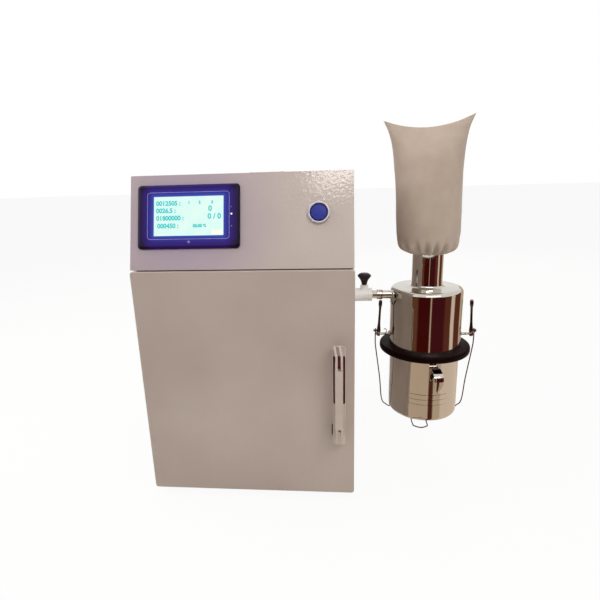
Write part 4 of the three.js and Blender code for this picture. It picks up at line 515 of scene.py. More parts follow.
def rings(levels, wrap=False, caps=False):
    """A form between rings of points of equal count; wrap joins the last ring to the first."""
    count = len(levels[0])
    points = [point for level in levels for point in level]
    faces = quads(len(levels), count, wrap)
    if caps:
        faces += [tuple(range(count)), tuple(range(len(points) - count, len(points)))]
    return points, faces


# Screen unit on the panel
def panel_rings(steps):
    """A closed form through outlines that lie at given distances out of the panel."""
    return rings([[on_panel(x, s, out) for x, s in outline] for outline, out in steps], wrap=True)


def unit_outline(inset, radius):
    """The unit's outline on the panel, drawn in by an inset."""
    left, low, right, high = -138.5, 28.0, 0.5, 114.0
    return rounded(left + inset, low + inset, right - inset, high - inset, radius)


def screen_bezel():
    """The moulded rim round the picture, from behind its outer edge to inside the window."""
    window = rounded(-116.0, 45.2, -21.0, 98.0, 0.4)
    steps = (
        (unit_outline(0.6, 4.4), 0.3), (unit_outline(0.0, 5.0), 0.9), (unit_outline(0.0, 5.0), 2.2),
        (unit_outline(0.9, 4.4), 3.4), (unit_outline(3.6, 3.0), 5.0), (unit_outline(4.6, 2.4), 4.6),
        (window, 4.6), (window, 2.0),
    )
    built("screen_bezel", panel_rings(steps), BEZEL_PAINTED_GLOW, "cabinet", 25, ["screen_unit"])


def screen_housing():
    """Two boxes behind the panel."""
    form = merged(
        block((-132.0, -1.5, 33.0), (-6.0, 15.0, 109.0), PANEL),
        block((-124.0, 14.0, 41.0), (-14.0, 30.0, 101.0), PANEL),
    )
    soften(built("screen_housing", form, BLACK, "cabinet"), 1.2)


def bezel_frame_line():
    """A printed line round the picture and the lamps, as a thin band."""
    left, low, right, high, radius, width = -124.0, 41.0, -13.6, 103.0, 3.4, 0.55
    front, back = 4.72, 4.62
    inner = rounded(left, low, right, high, radius)
    outer = rounded(left - width, low - width, right + width, high + width, radius + width)
    form = panel_rings(((inner, front), (outer, front), (outer, back), (inner, back)))
    built("bezel_frame_line", form, PRINT, "cabinet")


# Small lamps beside the picture: place across and up the panel, radius, finish
INDICATORS = ((-10.7, 82.5, 0.5, LAMP_OFF), (-10.3, 73.1, 0.9, LAMP_ON), (-10.2, 57.0, 0.5, LAMP_OFF))


def indicator_lamps():
    for number, (x, s, radius, finish) in enumerate(INDICATORS, 1):
        profile = [(0.0, 0.5), *arc((radius, 0.2), 0.3, 90, 0, 4), (radius, -0.4), (0.0, -0.4)]
        spot = PANEL @ moved(x, -4.7, s) @ OUTWARD
        form = turned(profile, spot, 20)
        built(f"indicator_lamp_{number}", form, finish, "cabinet")


def bezel_plus_mark():
    """A plus sign under the picture, of two bars."""
    form = merged(
        block((-69.9, -4.85, 36.4), (-65.7, -4.6, 37.4), PANEL),
        block((-68.3, -4.85, 34.8), (-67.3, -4.6, 39.0), PANEL),
    )
    built("bezel_plus_mark", form, PRINT, "cabinet")


# Numbers on the screen: text, place across and up the panel, height
READINGS = (
    ("0012505 :", -112.6, 89.0, 6.0),
    ("0026.5 :", -112.6, 79.2, 6.0),
    ("01800000 :", -112.4, 69.2, 6.0),
    ("000450 :", -111.0, 58.8, 6.0),
    ("1", -69.0, 89.6, 3.6), ("2", -54.6, 89.6, 3.6), ("3", -37.6, 89.6, 3.6),
    ("0", -41.6, 81.4, 7.0),
    ("0 / 0", -42.4, 71.0, 7.0),
    ("00.00 %", -62.4, 58.4, 4.0),
)
FIGURE_SHARE = 0.72  # the height of a figure in a font of size 1
FIGURE_OUT, FIGURE_SWELL, FIGURE_THICKNESS = 4.08, 0.36, 0.03  # in millimetres


def readings():
    """The picture's glow and the numbers on it."""
    picture = frame["nodes"]["screen_display"].data
    picture.materials.clear()
    picture.materials.append(MATERIALS["screen_glass"])
    facing = Matrix.Rotation(pi / 2 - PANEL_TILT, 4, "X")
    for number, (text, x, s, height) in enumerate(READINGS, 1):
        curve = bpy.data.curves.new(f"reading_{number}", "FONT")
        curve.body = text
        curve.size = height * MM / FIGURE_SHARE
        curve.offset = FIGURE_SWELL * MM
        curve.extrude = FIGURE_THICKNESS * MM
        curve.materials.append(INK)
        obj = linked(f"reading_{number}", curve)
        obj.matrix_world = Matrix.Translation(on_panel(x, s - height / 2, FIGURE_OUT)) @ facing
        ride_on(obj, "cabinet")
    key = block((-37.6, -4.1, 46.4), (-22.4, -3.9, 52.6), PANEL)
    built("screen_key", key, SCREEN_KEY, "cabinet")


def start_button():
    """The push button and its bright bezel, both turned about one axis."""
    centre = PANEL @ moved(104.4, 0, 73.0) @ OUTWARD
    bezel = [
        (11.9, 0.3), (14.7, 0.3), *arc((13.1, 3.2), 1.6, 0, 90), (12.5, 4.8),
        *arc((12.5, 4.2), 0.6, 90, 180, 4),
    ]
    ring = turned(bezel, centre)
    built("button_ring", ring, SATIN_RING, "cabinet", 32, ["button_bezel"])
    cap = [
        (0.0, 4.8), (3.0, 4.76), (6.0, 4.6), (8.6, 4.26), *arc((9.6, 3.6), 0.7, 80, 0, 5), (10.3, 3.3),
        (8.0, 3.3), (8.0, 0.0), (0.0, 0.0),
    ]
    stand_in("button_cap", turned(cap, centre), MATERIALS["blue_plastic"], 40)


# Door handle
HANDLE_X = 129.6
BASE_FRONT, RECESS_FLOOR = -12.0, -2.0  # depths


def handle_ring(half, low, high, radius, y):
    """A rounded outline about the handle's middle line, at a depth."""
    outline = rounded(HANDLE_X - half, low, HANDLE_X + half, high, radius)
    return [place(x, y, z) for x, z in outline]


def recess_ring(inset, radius, y):
    """The outline of the recess in the base, drawn in by an inset."""
    half, low, high = 8.1, 151.0, 221.0
    return handle_ring(half - inset, low + inset, high - inset, radius, y)


def handle_base():
    """The base on the door, with a recess in its front and a top that slopes back."""
    half, low, high, slope, edge = 8.9, 88.0, 235.4, 7.0, 0.7
    levels = [
        handle_ring(half, low, high - slope, 4.0, -0.3),
        handle_ring(half, low, high, 4.0, BASE_FRONT + edge),
        handle_ring(half - edge, low + edge, high - edge, 3.3, BASE_FRONT),
        recess_ring(0.0, 1.6, BASE_FRONT),
        recess_ring(0.2, 1.4, RECESS_FLOOR),
    ]
    stand_in("handle_base", rings(levels, caps=True), PAINTED_HANDLE, 35)


def handle_recess_painted_shade():
    """A shallow dish that fills the recess, dark red as painted shade of the recess."""
    rim_y, dish_y = BASE_FRONT + 0.4, BASE_FRONT + 2.4
    levels = [
        recess_ring(0.18, 1.4, RECESS_FLOOR - 0.3), recess_ring(0.18, 1.4, rim_y),
        recess_ring(0.7, 1.2, rim_y), recess_ring(0.7, 1.2, dish_y),
    ]
    built("handle_recess_painted_shade", rings(levels, caps=True), RECESS_PAINTED_SHADE, "door", 35)


# A small black block beside the base's left edge, where the base shows a dark spot.
def handle_dark_block():
    form = block((HANDLE_X - 10.6, -9.5, 102.0), (HANDLE_X - 8.8, -3.5, 116.0))
    soften(built("handle_dark_block", form, BLACK, "door"), 0.7)


# Sections of the swing bar, upward: height and depth in front, the same behind, lean to the side
BAR_SECTIONS = (
    (99.5, -30.0, 99.5, -22.0, 0.0), (122.0, -30.0, 122.0, -22.0, 0.0),
    (207.0, -30.0, 207.0, -22.0, 0.0), (226.5, -30.0, 222.5, -22.0, 0.0),
    (228.2, -29.2, 224.0, -21.2, -0.4), (236.2, -14.4, 229.2, -12.4, -2.7),
)


def bar_column(left, right, first, last):
    """A four-sided column of the bar through some of its sections."""
    vertices, faces = [], []
    for front_z, front_y, back_z, back_y, lean in BAR_SECTIONS[first : last + 1]:
        for x in (HANDLE_X + left + lean, HANDLE_X + right + lean):
            vertices += [place(x, front_y, front_z), place(x, back_y, back_z)]
    end = len(vertices) - 4
    for a in range(0, end, 4):
        b = a + 4
        faces += [(a, a + 2, b + 2, b), (a + 1, b + 1, b + 3, a + 3)]
        faces += [(a, b, b + 1, a + 1), (a + 2, a + 3, b + 3, b + 2)]
    faces += [(0, 1, 3, 2), (end, end + 2, end + 3, end + 1)]
    return vertices, faces


def handle_bar():
    """The swing bar: two prongs at the top that lean back on the base, and a forked foot."""
    half, slot = 5.0, 1.9
    form = merged(
        bar_column(-half, -slot, 0, 1),
        bar_column(slot, half, 0, 1),
        bar_column(-half, half, 1, 2),
        bar_column(-half, -slot, 2, 5),
        bar_column(slot, half, 2, 5),
    )
    soften(stand_in("handle_bar", form, PAINTED_HANDLE, 35), 0.7)


# Knob on the outlet socket
PIPE_Y, PIPE_Z = 98.0, 278.0
KNOB_AXIS = Matrix.Translation(place(168.7, PIPE_Y, 0.0))


def clamp_knob():
    """A turned knob with a fluted rim."""
    segments, flutes, flute_depth, flutes_low, flutes_high = 72, 24, 0.22, 302.0, 309.5
    profile = [
        (0.0, 294.0), (3.6, 294.0), (4.2, 294.6), (4.6, 297.2), (5.4, 300.0), (7.0, 302.8), (8.7, 305.0),
        *arc((8.7, 307.4), 1.3, -20, 80, 5), (8.0, 309.9), (6.4, 310.9), (3.0, 311.25), (0.0, 311.3),
    ]
    vertices, faces = turned(profile, KNOB_AXIS, segments)
    for index, point in enumerate(vertices):
        step, spot = divmod(index, len(profile))
        if flutes_low < profile[spot][1] < flutes_high:
            angle = TURN * step / segments
            out = Vector((cos(angle), sin(angle), 0))
            vertices[index] = point + out * (flute_depth * MM * cos(flutes * angle))
    stand_in("clamp_knob", (vertices, faces), BLACK, 40)


def clamp_screw():
    profile = [
        (0.0, 284.4), (2.2, 284.4), (2.4, 284.8), (2.4, 290.6), (3.4, 291.0), (3.4, 293.4), (2.4, 293.8),
        (0.0, 294.2),
    ]
    form = turned(profile, KNOB_AXIS, 24)
    built("clamp_screw", form, MATERIALS["brushed_steel"], "clamp", 40)


# Collector
CAN_RADIUS = 54.0
PIVOT_Z = 211.0
SIDES = ((-1, "left"), (1, "right"))


def by_can(x, y, z):
    """A point given in millimetres from the can's axis."""
    return CAN_ORIGIN + Vector((x, y, z)) * MM


def round_can(radius, angle, z):
    return by_can(radius * cos(angle), radius * sin(angle), z)


def pivot_frame(side):
    """A frame on the can's axis at the height of the pivots, whose X leads to one side."""
    return Matrix.Translation(place(CAN_X, CAN_Y, PIVOT_Z)) @ Matrix.Scale(side, 4, Vector((1, 0, 0)))


def cyclone_can():
    """The can with its rounded shoulder, its rim and the chimney through its top."""
    profile = [
        (63.5, 194.8), (63.5, 196.0), (55.6, 196.0), *arc((55.6, 197.6), 1.6, -90, -180, 4),
        (CAN_RADIUS, 240.0), *arc((47.0, 281.0), 7.0, 0, 90, 14), (40.0, 288.1), (27.6, 288.3),
        (25.2, 288.8), (23.8, 289.9), (22.95, 291.6), (22.75, 300.0), (22.75, 359.6), (22.5, 360.0),
        (21.7, 360.0), (21.5, 359.6), (21.5, 240.0), (22.75, 240.0), (22.75, 286.9), (46.6, 286.9),
        *arc((46.0, 280.6), 6.8, 85, 0, 8), (52.8, 194.8),
    ]
    stand_in("cyclone_can", turned(profile, CAN, 192), STEEL, 40)


def pivot_pins():
    """A pad with a pin at each side of the can."""
    pad = [(0.0, 52.6), (4.8, 52.6), (4.8, 55.2), (4.0, 56.2), (2.0, 56.4), (1.9, 67.8), (0.0, 67.8)]
    tip = [(0.0, 67.6), (1.9, 67.6), (1.9, 73.4), (2.7, 74.2), (2.7, 75.0), (0.0, 75.6)]
    forms = [
        turned(profile, pivot_frame(side) @ ALONG_X, 28)
        for side in (-1, 1)
        for profile in (pad, tip)
    ]
    built("pivot_pins", merged(*forms), WELD, "collector", 40)


def chimney_weld():
    """A bead of uneven ripples round the chimney's foot."""
    steps, sides, ripples, bead_radius, bead_z = 180, 8, 47, 23.4, 288.9
    bead, ripple, unevenness = 0.75, 0.16, 0.1
    vertices = []
    for step in range(steps):
        angle = TURN * step / steps
        uneven = noise.noise(Vector((step * 0.4, 3.0, 1.0)))
        swell = bead + ripple * sin(angle * ripples) + unevenness * uneven
        for side in range(sides):
            turn = TURN * side / sides
            radius = bead_radius + swell * cos(turn)
            vertices.append(round_can(radius, angle, bead_z + swell * sin(turn)))
    form = vertices, quads(steps, sides, wrap_rows=True)
    built("chimney_weld", form, WELD, "collector", 60)


PIPE_RADIUS = 6.3


def inlet_pipe():
    """The pipe from the socket to the can, with its grooved ferrule."""
    axis = Matrix.Translation(place(0, PIPE_Y, PIPE_Z)) @ ALONG_X
    pipe = [(5.3, 160.0), (6.1, 160.0), (PIPE_RADIUS, 160.4), (PIPE_RADIUS, 216.0), (5.3, 216.0)]
    ferrule = [
        (PIPE_RADIUS, 187.6), (7.0, 187.6), (7.6, 188.3), (7.6, 190.2), (7.1, 190.7), (7.1, 191.5),
        (7.6, 192.0), (7.6, 195.4), (7.1, 196.2), (PIPE_RADIUS, 196.2),
    ]
    stand_in("inlet_pipe", merged(turned(pipe, axis, 64), turned(ferrule, axis, 64)), STEEL, 40)


def pipe_saddle():
    """The pipe's flared end, which lies on the can's round wall and hangs down on it."""
    steps, sides, flare, thickness, neck = 7, 64, 4.7, 1.5, 2.0
    levels = []
    for step in range(steps):
        share = step / (steps - 1)
        reach = PIPE_RADIUS + flare * share
        from_axis = CAN_RADIUS + thickness + neck * (1 - share) ** 2
        level = []
        for side in range(sides):
            turn = TURN * side / sides
            y = PIPE_Y + reach * cos(turn)
            depth = sqrt(from_axis**2 - (y - CAN_Y) ** 2)
            level.append(place(CAN_X - depth, y, PIPE_Z + reach * sin(turn) - flare * share))
        levels.append(level)
    built("pipe_saddle", rings(levels), STEEL, "collector", 60)


def seal_ring():
    """The rubber ring, whose groove grips the rims of can and cup."""
    low, high, outer, inner, edge = 187.0, 197.5, 68.75, 54.3, 3.4
    groove, groove_low, groove_high = 63.8, 190.9, 196.3
    profile = [
        (inner, low), *arc((outer - edge, low + edge), edge, -90, 0),
        *arc((outer - edge, high - edge), edge, 0, 90), (58.0, high - 0.1), (56.2, high + 0.25),
        (inner, high - 0.1), (inner, groove_high), (groove, groove_high), (groove, groove_low),
        (inner, groove_low),
    ]
    stand_in("seal_ring", turned(profile, CAN, 160), MATERIALS["black_rubber"], 40)


CUP_BOTTOM, CUP_RADIUS = 85.5, 53.0
BEAD_HEIGHTS = (115.1, 123.3, 131.5)


def sample_cup():
    """The cup with a rounded foot, three rolled beads and a flanged rim."""
    profile = [
        (0.0, CUP_BOTTOM), (38.0, CUP_BOTTOM), (44.0, 85.9), *arc((46.0, 92.5), 7.0, -82, 0, 12),
    ]
    for z in BEAD_HEIGHTS:
        profile += [
            (CUP_RADIUS, z - 1.5), (52.94, z - 0.9), (52.66, z), (52.94, z + 0.9), (CUP_RADIUS, z + 1.5),
        ]
    profile += [
        (CUP_RADIUS, 186.0), (53.4, 188.6), (55.4, 190.4), (58.0, 191.0), (63.2, 191.2), (63.5, 191.8),
        (63.2, 192.4), (51.8, 192.4), (51.8, 92.5), (49.6, 88.2), (44.8, 86.7), (0.0, 86.7),
    ]
    stand_in("sample_cup", turned(profile, CAN, 192), STEEL, 50)


# Middle line of the grip strip: distance from the cup's axis, and height
GRIP_LINE = (
    (53.6, 160.0), (54.0, 172.4), (57.0, 174.6), (61.4, 174.4), (68.6, 172.2),
    (73.4, 167.0), (74.4, 158.0), (72.6, 150.0), (69.8, 143.6),
)
GRIP_TURN = radians(7)

def sheet(rows):
    """A form between open rows of points."""
    return [point for row in rows for point in row], quads(len(rows), len(rows[0]), wrap_columns=False)


def cup_grip():
    """A strip that curls out over the rim and down, crowned and with a round end."""
    half_width, half_thickness, columns = 6.75, 0.8, 10
    round_from, round_share, blunt = 0.68, 0.33, 0.02
    crown, crown_from, crown_rise = 0.9, 0.35, 4
    path = through([(0, out, z) for out, z in GRIP_LINE], 7)
    sheets = {-1: [], 1: []}
    for index, point in enumerate(path):
        share = index / (len(path) - 1)
        before, after = path[max(index - 1, 0)], path[min(index + 1, len(path) - 1)]
        along = (after - before).normalized()
        width = half_width
        if share > round_from:
            width *= sqrt(max(blunt, 1.0 - ((share - round_from) / round_share) ** 2))
        arched = crown * min(1.0, max(0.0, (share - crown_from) * crown_rise))
        for face, rows in sheets.items():
            rows.append([])
            for column in range(columns + 1):
                across = 2 * column / columns - 1
                lift = face * half_thickness - arched * (1 - across**2)
                x, out = across * width, point.y + along.z * lift
                turned_x = x * cos(GRIP_TURN) + out * sin(GRIP_TURN)
                turned_y = x * sin(GRIP_TURN) - out * cos(GRIP_TURN)
                rows[-1].append(by_can(turned_x, turned_y, point.z - along.y * lift))
    inner, outer = sheets.values()
    edges = [[(a[end], b[end]) for a, b in zip(inner, outer)] for end in (0, -1)]
    ends = [(inner[end], outer[end]) for end in (0, -1)]
    form = merged(*(sheet(rows) for rows in (inner, outer, *edges, *ends)))
    built("cup_grip", form, STEEL, "collector", 50)


# Levers and bail: each lever turns about its pivot and lifts the bail by a crank pin
CRANK_REACH, CRANK_ANGLE = 5, radians(10)
CRANK_Y, CRANK_Z = CRANK_REACH * sin(CRANK_ANGLE), CRANK_REACH * cos(CRANK_ANGLE)
PIN_RADIUS, WIRE_RADIUS = 1.6, 0.9
EYE_X, EYE_RADIUS = 76.2, PIN_RADIUS + 0.3 + WIRE_RADIUS


def levers():
    """On each side a turned handle with its hub on the pivot and a crank pin."""
    lever_x, splay = 71.5, radians(2.6)
    stem = [
        (0.0, 2.2), (2.6, 2.4), (3.2, 4.2), (3.0, 7.6), (2.3, 13.0), (1.9, 19.0), (1.75, 34.0), (1.9, 43.0),
        (2.5, 45.4), (2.8, 47.6), (2.8, 51.6), (2.4, 53.8), (1.5, 54.8), (0.0, 55.0),
    ]
    hub = [(2.3, 69.5), (4.0, 69.5), (4.2, 69.9), (4.2, 73.1), (4.0, 73.5), (2.3, 73.5)]
    pin = [
        (0.0, 69.5), (3.0, 69.5), (3.0, 73.5), (PIN_RADIUS, 73.7), (PIN_RADIUS, 78.2), (2.5, 78.4),
        (2.5, 79.0), (0.0, 79.4),
    ]
    for side, name in SIDES:
        pivot = pivot_frame(side)
        lean = pivot @ moved(lever_x, 0, 0) @ Matrix.Rotation(-splay, 4, "Y")
        crank = pivot @ moved(0, CRANK_Y, CRANK_Z) @ ALONG_X
        form = merged(turned(stem, lean, 36), turned(hub, pivot @ ALONG_X, 40), turned(pin, crank, 32))
        stand_in(f"lever_{name}", form, DARK_STEEL, 40)


def bail_line():
    """The bail's middle line, from eye to eye with a finger loop under the cup."""
    low = CUP_BOTTOM - WIRE_RADIUS - 0.6

    def down(side):
        bends = (
            (EYE_X, PIVOT_Z + CRANK_Z - EYE_RADIUS), (EYE_X, PIVOT_Z - 10), (75.2, 187), (68.2, 136.2),
            (64.2, 97.5), (57.0, 87.5), (49.0, low),
        )
        return [(side * x, 0, z) for x, z in bends]

    loop = (
        (-33.6, 0), (-22.6, -11), (-22.6, -55), (-19.3, -62.7), (-11.6, -66), (-3.9, -62.7), (-0.6, -55),
        (-0.6, -11), (10.4, 0),
    )
    points = [*down(-1), *((x, y, low) for x, y in loop), *reversed(down(1))]
    return [by_can(x, y + CRANK_Y, z) for x, y, z in points]


def bail():
    """The wire bail and its eyes round the crank pins."""
    wire("wire_bail_form", bail_line(), WIRE_RADIUS, DARK_STEEL, "bail", 12, ["wire_bail"])
    steps, middle_z = 16, PIVOT_Z + CRANK_Z
    angles = [pi + TURN * step / steps for step in range(steps + 1)]
    for side, name in SIDES:
        loop = [
            by_can(side * EYE_X, CRANK_Y + EYE_RADIUS * sin(a), middle_z + EYE_RADIUS * cos(a))
            for a in angles
        ]
        wire(f"bail_eye_{name}", loop, WIRE_RADIUS, DARK_STEEL, "bail", 3)


def pivot_wire_hook():
    points = [
        (-63.0, -2, 210.0), (-60.5, -4, 213.0), (-59.6, -5, 217.6), (-61.4, -5, 221.0), (-63.6, -5, 219.4),
    ]
    line = [by_can(*point) for point in points]
    wire("pivot_wire_hook", line, 0.55, WELD, "collector", 8)


# Filter bag: its half width and half depth as shares of the radius, at shares of its height
BAG_LOW, BAG_HIGH, BAG_RADIUS = 339.0, 516.0, 46
BAG_HEIGHTS = (0, 0.03, 0.07, 0.12, 0.2, 0.35, 0.55, 0.74, 0.85, 0.93, 1)
BAG_WIDTHS = (0.56, 0.78, 0.9, 0.97, 1, 1.01, 1.02, 1.06, 1.13, 1.23, 1.38)
BAG_DEPTHS = (0.56, 0.76, 0.88, 0.95, 0.98, 0.97, 0.92, 0.78, 0.58, 0.33, 0.05)
FOLD_ANGLES = (-2.62, -2.18, -1.86, -1.52, -1.2, -0.8, -0.3, 0.35, 0.9, 1.6, 2.3, 2.9)


def smooth_between(spots, values, at):
    """A smooth value between those given at rising places."""
    last = len(spots) - 1
    i = next(i for i in range(last) if at <= spots[i + 1])
    span = spots[i + 1] - spots[i]
    before, after = max(i - 1, 0), min(i + 2, last)
    slope_a = (values[i + 1] - values[before]) / (spots[i + 1] - spots[before]) * span
    slope_b = (values[after] - values[i]) / (spots[after] - spots[i]) * span
    t = (at - spots[i]) / span
    return (
        values[i] * (2 * t**3 - 3 * t * t + 1) + slope_a * (t**3 - 2 * t * t + t)
        + values[i + 1] * (3 * t * t - 2 * t**3) + slope_b * (t**3 - t * t)
    )


def bag_folds():
    """The folds gathered at the neck: angle, width and strength of each."""
    random.seed(7)
    return [
        (angle, 0.085 + 0.05 * random.random(), 0.8 + 0.5 * random.random()) for angle in FOLD_ANGLES
    ]


def crease_of(share, angle, folds):
    """How far the folds draw the cloth in, in millimetres, at a share of the bag's height."""
    tie, tie_share, tie_spread = 8.5, 0.05, 0.055
    mouth, mouth_spread = 2.2, 0.04
    slant, slack = 0.25, 0.4
    gather = tie * exp(-(((share - tie_share) / tie_spread) ** 2))
    gather += mouth * exp(-((share / mouth_spread) ** 2))
    pull = 0.0
    for spot, width, strength in folds:
        apart = atan2(sin(angle - spot), cos(angle - spot)) - slant * share
        pull += strength * exp(-((apart / width) ** 2))
    return gather * (pull - slack)


def bag_point(share, angle, folds):
    """A point of the cloth, which waves softly, leans and rises to a corner at each side."""
    lean, corner_rise, corner_tilt, fine_share, thin = 7, 13.6, 2.9, 0.35, 20
    across, deep = cos(angle), sin(angle)
    half_x = BAG_RADIUS * smooth_between(BAG_HEIGHTS, BAG_WIDTHS, share)
    half_y = BAG_RADIUS * smooth_between(BAG_HEIGHTS, BAG_DEPTHS, share)
    wave = noise.noise(Vector((across * 1.6, deep * 1.6, share * 3.4)))
    fine = noise.noise(Vector((across * 4.6, deep * 4.6, share * 9.0 + 4.0)))
    out = wave + fine_share * fine
    crease = crease_of(share, angle, folds)
    x = (half_x + out - crease) * across - lean * share
    y = (half_y + out * min(1.0, half_y / thin) - crease) * deep
    corners = share**4 * (corner_rise * across**2 + corner_tilt * across)
    return by_can(x, y, BAG_LOW + share * (BAG_HIGH - BAG_LOW) + corners)


def filter_bag():
    """The sewn cloth bag: its walls, the seam along its top and the neck inside its gathers."""
    steps, sides = 120, 200
    angles = [TURN * side / sides for side in range(sides)]
    shares = [(step / steps) ** 1.35 for step in range(steps + 1)]
    folds = bag_folds()
    walls, wall_faces = rings([[bag_point(share, angle, folds) for angle in angles] for share in shares])
    lip = steps * sides
    for side in range(sides // 2):  # the seam, which ends in a triangle at each corner
        corners = (side, side + 1, sides - side - 1, (sides - side) % sides)
        wall_faces.append(tuple(lip + corner for corner in dict.fromkeys(corners)))
    neck = [
        [round_can(radius, angle, BAG_LOW + height) for angle in angles]
        for height, radius in ((0.2, 24.4), (4.2, 23.4), (16.2, 23.1))
    ]
    neck_points, neck_faces = rings([walls[:sides], *neck])
    neck_faces.append(tuple(reversed(range(3 * sides, 4 * sides))))
    form = merged((walls, wall_faces), (neck_points, neck_faces))
    stand_in("filter_bag", form, MATERIALS["beige_cloth"], 60)


# Everything else keeps its own form
EDGE = 0.3  # in millimetres, like the other rounds below
EDGES = {
    "cabinet_shell": 0.5, "door_panel": 0.0, "control_panel": 0.5, "rear_cover": 0.5, "handle_hub": 0.4,
    "hopper_lid": 0.4, "outlet_socket": 0.5, "mill_housing": 0.6, "mill_cover": 0.6, "motor_stand": 0.6,
    "motor_drive": 0.8, "power_inlet": 0.5,
}
# the control panel's finish has the screen's glow painted into its colour
OWN_FINISH = {"outlet_socket": WHITE_ENAMEL, "handle_hub": PAINTED_HANDLE, "control_panel": panel_painted_screen_glow()}


def other_nodes():
    for node, obj in frame["nodes"].items():
        if obj.hide_render or node == "screen_display":
            continue
        dressed(node, OWN_FINISH.get(node, MATERIALS[SLOTS[node]]), EDGES.get(node, EDGE))


# Surroundings, lamps and camera
def mixed_shader(tree, share, first, second):
    """A shader between two others."""
    made = add(tree, "ShaderNodeMixShader")
    for source, socket in ((share, "Fac"), (first, 1), (second, 2)):
        tree.links.new(source, made.inputs[socket])
    return made.outputs["Shader"]


def larger(tree, first, second):
    made = add(tree, "ShaderNodeMath", {"operation": "MAXIMUM"})
    tree.links.new(first, made.inputs[0])
    tree.links.new(second, made.inputs[1])
    return made.outputs[0]


def seen_rays(tree):
    """One for what the camera, mirrors and glass see, zero for the light on other surfaces."""
    rays = add(tree, "ShaderNodeLightPath").outputs
    direct = larger(tree, rays["Is Camera Ray"], rays["Is Glossy Ray"])
    return larger(tree, direct, rays["Is Transmission Ray"])


def floor():
    """A white floor that glows for the eye, and shows only a little of its shadows."""
    glow_share = 0.93
    mesh = bpy.data.meshes.new("floor")
    mesh.from_pydata([(-40, -8, 0), (40, -8, 0), (40, 60, 0), (-40, 60, 0)], [], [(0, 1, 2, 3)])
    made, tree, surface = blank("floor_white")
    surface.inputs["Base Color"].default_value = (0.86, 0.85, 0.83, 1)
    surface.inputs["Roughness"].default_value = 0.9
    surface.inputs["Specular IOR Level"].default_value = 0.0
    glow = add(tree, "ShaderNodeEmission")
    share = add(tree, "ShaderNodeMath", {"operation": "MULTIPLY"}, {1: glow_share})
    tree.links.new(seen_rays(tree), share.inputs[0])
    both = mixed_shader(tree, share.outputs[0], surface.outputs["BSDF"], glow.outputs["Emission"])
    tree.links.new(both, tree.nodes["Material Output"].inputs["Surface"])
    mesh.materials.append(made)
    linked("floor", mesh)


def world():
    """Soft warm light on surfaces, and plain white for the eye and for mirrors."""
    soft_light = 0.26
    made = bpy.data.worlds.new("room")
    bpy.context.scene.world = made
    made.use_nodes = True
    tree = made.node_tree
    tree.nodes.clear()
    soft = add(tree, "ShaderNodeBackground", inputs={"Color": (1.0, 0.97, 0.94, 1), "Strength": soft_light})
    white = add(tree, "ShaderNodeBackground", inputs={"Color": (1, 1, 1, 1), "Strength": 1.0})
    both = mixed_shader(tree, seen_rays(tree), soft.outputs[0], white.outputs[0])
    tree.links.new(both, add(tree, "ShaderNodeOutputWorld").inputs["Surface"])


CAMERA_SPOT = Vector((0.03171, -0.73320, 0.4520))
CAMERA_LENS, CAMERA_SENSOR = 26.180, 36.0  # in millimetres
CAMERA_PITCH, CAMERA_YAW, CAMERA_ROLL = 0.2540, -0.0867, 0.0270  # in radians

# The room that the polished steel shows: degrees from the way to the camera, with the tone of
# what stands there and the tone of the floor before it
TAN, PALE, CREAM, SHADE = (120, 104, 86), (164, 147, 128), (188, 173, 158), (68, 32, 24)
BROWN, MAROON, PLUM, RUST = (84, 52, 36), (54, 9, 8), (58, 16, 20), (80, 42, 30)
ROOM = (
    (-62, TAN, TAN), (-48, TAN, TAN), (-45, BROWN, PALE), (-24, BROWN, PALE), (-19, MAROON, PALE),
    (14, MAROON, PALE), (15.5, PALE, PALE), (17.5, PALE, PALE), (19, PLUM, PALE),
    (22, PLUM, SHADE), (33, PLUM, SHADE), (37, PLUM, PALE), (56, PLUM, PALE),
    (62, RUST, CREAM), (80, RUST, CREAM), (83, CREAM, CREAM), (94, CREAM, CREAM), (98, RUST, CREAM),
    (124, RUST, CREAM), (130, PALE, CREAM), (170, PALE, CREAM),
)
ROOM_START, ROOM_END = ROOM[0][0], ROOM[-1][0]
ROOM_MIDDLE = Vector((0.16899, -0.06755, 0.0))  # on the can's axis
# Radius and height of the screen's points in metres, from under the machine outward and up
ROOM_LEVELS = (
    (0.05, 0.001), (0.25, 0.001), (0.45, 0.001), (0.62, 0.001), (0.64, 0.02), (0.64, 0.16), (0.64, 0.46),
)
ROOM_GLOW = 1.7
WALL_FROM, WALL_FULL = 0.5, 0.68  # shares of the levels between which floor turns to wall


def room_mesh():
    """The screen, with a map of the share of the way round it and of the way up it."""
    facing = atan2(CAMERA_SPOT.y - ROOM_MIDDLE.y, CAMERA_SPOT.x - ROOM_MIDDLE.x)
    steps, count = 120, len(ROOM_LEVELS)
    vertices, places = [], []
    for step in range(steps + 1):
        share = step / steps
        angle = facing + radians(ROOM_START + (ROOM_END - ROOM_START) * share)
        for level, (radius, z) in enumerate(ROOM_LEVELS):
            vertices.append(ROOM_MIDDLE + Vector((radius * cos(angle), radius * sin(angle), z)))
            places.append((share, level / (count - 1)))
    mesh = bpy.data.meshes.new("room_screen")
    mesh.from_pydata(vertices, [], quads(steps + 1, count, wrap_columns=False))
    layer = mesh.uv_layers.new(name="around")
    for loop in mesh.loops:
        layer.data[loop.index].uv = places[loop.vertex_index]
    return mesh


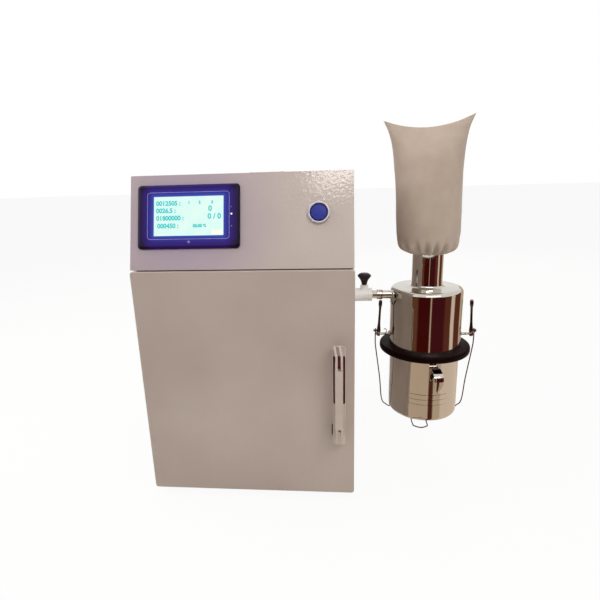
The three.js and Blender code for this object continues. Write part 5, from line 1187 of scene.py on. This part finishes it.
def room_finish():
    """The glow of the screen, in the tones of ROOM."""
    made, tree = blank("room_screen")[:2]
    tree.nodes.clear()
    parts = add(tree, "ShaderNodeSeparateXYZ")
    tree.links.new(add(tree, "ShaderNodeUVMap", {"uv_map": "around"}).outputs["UV"], parts.inputs[0])
    around, up = parts.outputs["X"], parts.outputs["Y"]
    walls, ground = (
        ramp(tree, around, [((row[0] - ROOM_START) / (ROOM_END - ROOM_START), row[kind]) for row in ROOM])
        for kind in (1, 2)
    )
    upright = remap(tree, up, From_Min=WALL_FROM, From_Max=WALL_FULL)
    glow = add(tree, "ShaderNodeEmission", inputs={"Strength": ROOM_GLOW})
    tree.links.new(mixed(tree, upright, ground, walls), glow.inputs["Color"])
    output = add(tree, "ShaderNodeOutputMaterial")
    tree.links.new(glow.outputs["Emission"], output.inputs["Surface"])
    return made


def room():
    """A curved screen with a floor before and beside the machine, which only mirrors see."""
    obj = linked("room_screen", room_mesh())
    obj.data.materials.append(room_finish())
    obj.visible_camera = False
    obj.visible_diffuse = False
    obj.visible_shadow = False


# Lamps: name, place, target, width and height, power, colour, whether mirrors show them
LAMPS = (
    ("key", (0.49, -1.35, 1.47), (0, -0.1, 0.3), (1.25, 0.19), 8.5, (1.0, 0.97, 0.93), True),
    ("near", (0.5, -0.75, 0.75), (0.05, -0.2, 0.4), (0.5, 0.5), 1.7, (1.0, 0.97, 0.93), False),
    ("fill", (-1.9, -1.4, 1.2), (0, 0, 0.25), (1.6, 1.4), 3, (0.96, 0.96, 1.0), True),
    ("side", (-1.3, -0.1, 1.3), (0.1, -0.05, 0.4), (1.2, 1.0), 15, (1.0, 0.98, 0.96), False),
    ("top", (0.1, 0.2, 2.1), (0, 0, 0), (1.6, 1.4), 11, (1.0, 0.98, 0.95), False),
    ("rear", (0.6, 2.0, 1.3), (0, 0, 0.2), (1.6, 1.2), 10, (1.0, 0.97, 0.94), False),
)


def lamps():
    for name, spot, target, (width, height), power, colour, mirrored in LAMPS:
        light = bpy.data.lights.new(name, "AREA")
        light.shape = "RECTANGLE"
        light.size, light.size_y = width, height
        light.energy = power
        light.color = colour
        obj = linked(name, light)
        obj.location = spot
        obj.rotation_euler = (Vector(target) - Vector(spot)).to_track_quat("-Z", "Y").to_euler()
        obj.visible_camera = False
        obj.visible_glossy = mirrored


def camera():
    """The camera, fitted to the photograph."""
    data = bpy.data.cameras.new("camera")
    data.sensor_width = CAMERA_SENSOR
    data.lens = CAMERA_LENS
    turns = ((-CAMERA_YAW, "Z"), (pi / 2 - CAMERA_PITCH, "X"), (-CAMERA_ROLL, "Z"))
    matrix = Matrix.Translation(CAMERA_SPOT)
    for angle, axis in turns:
        matrix = matrix @ Matrix.Rotation(angle, 4, axis)
    obj = linked("camera", data)
    obj.matrix_world = matrix
    bpy.context.scene.camera = obj


screen_bezel()
screen_housing()
bezel_frame_line()
indicator_lamps()
bezel_plus_mark()
readings()
start_button()
handle_base()
handle_recess_painted_shade()
handle_dark_block()
handle_bar()
clamp_knob()
clamp_screw()
cyclone_can()
pivot_pins()
chimney_weld()
inlet_pipe()
pipe_saddle()
seal_ring()
sample_cup()
cup_grip()
levers()
bail()
pivot_wire_hook()
filter_bag()
other_nodes()
floor()
world()
room()
lamps()
camera()
bpy.context.scene.view_settings.view_transform = "Standard"
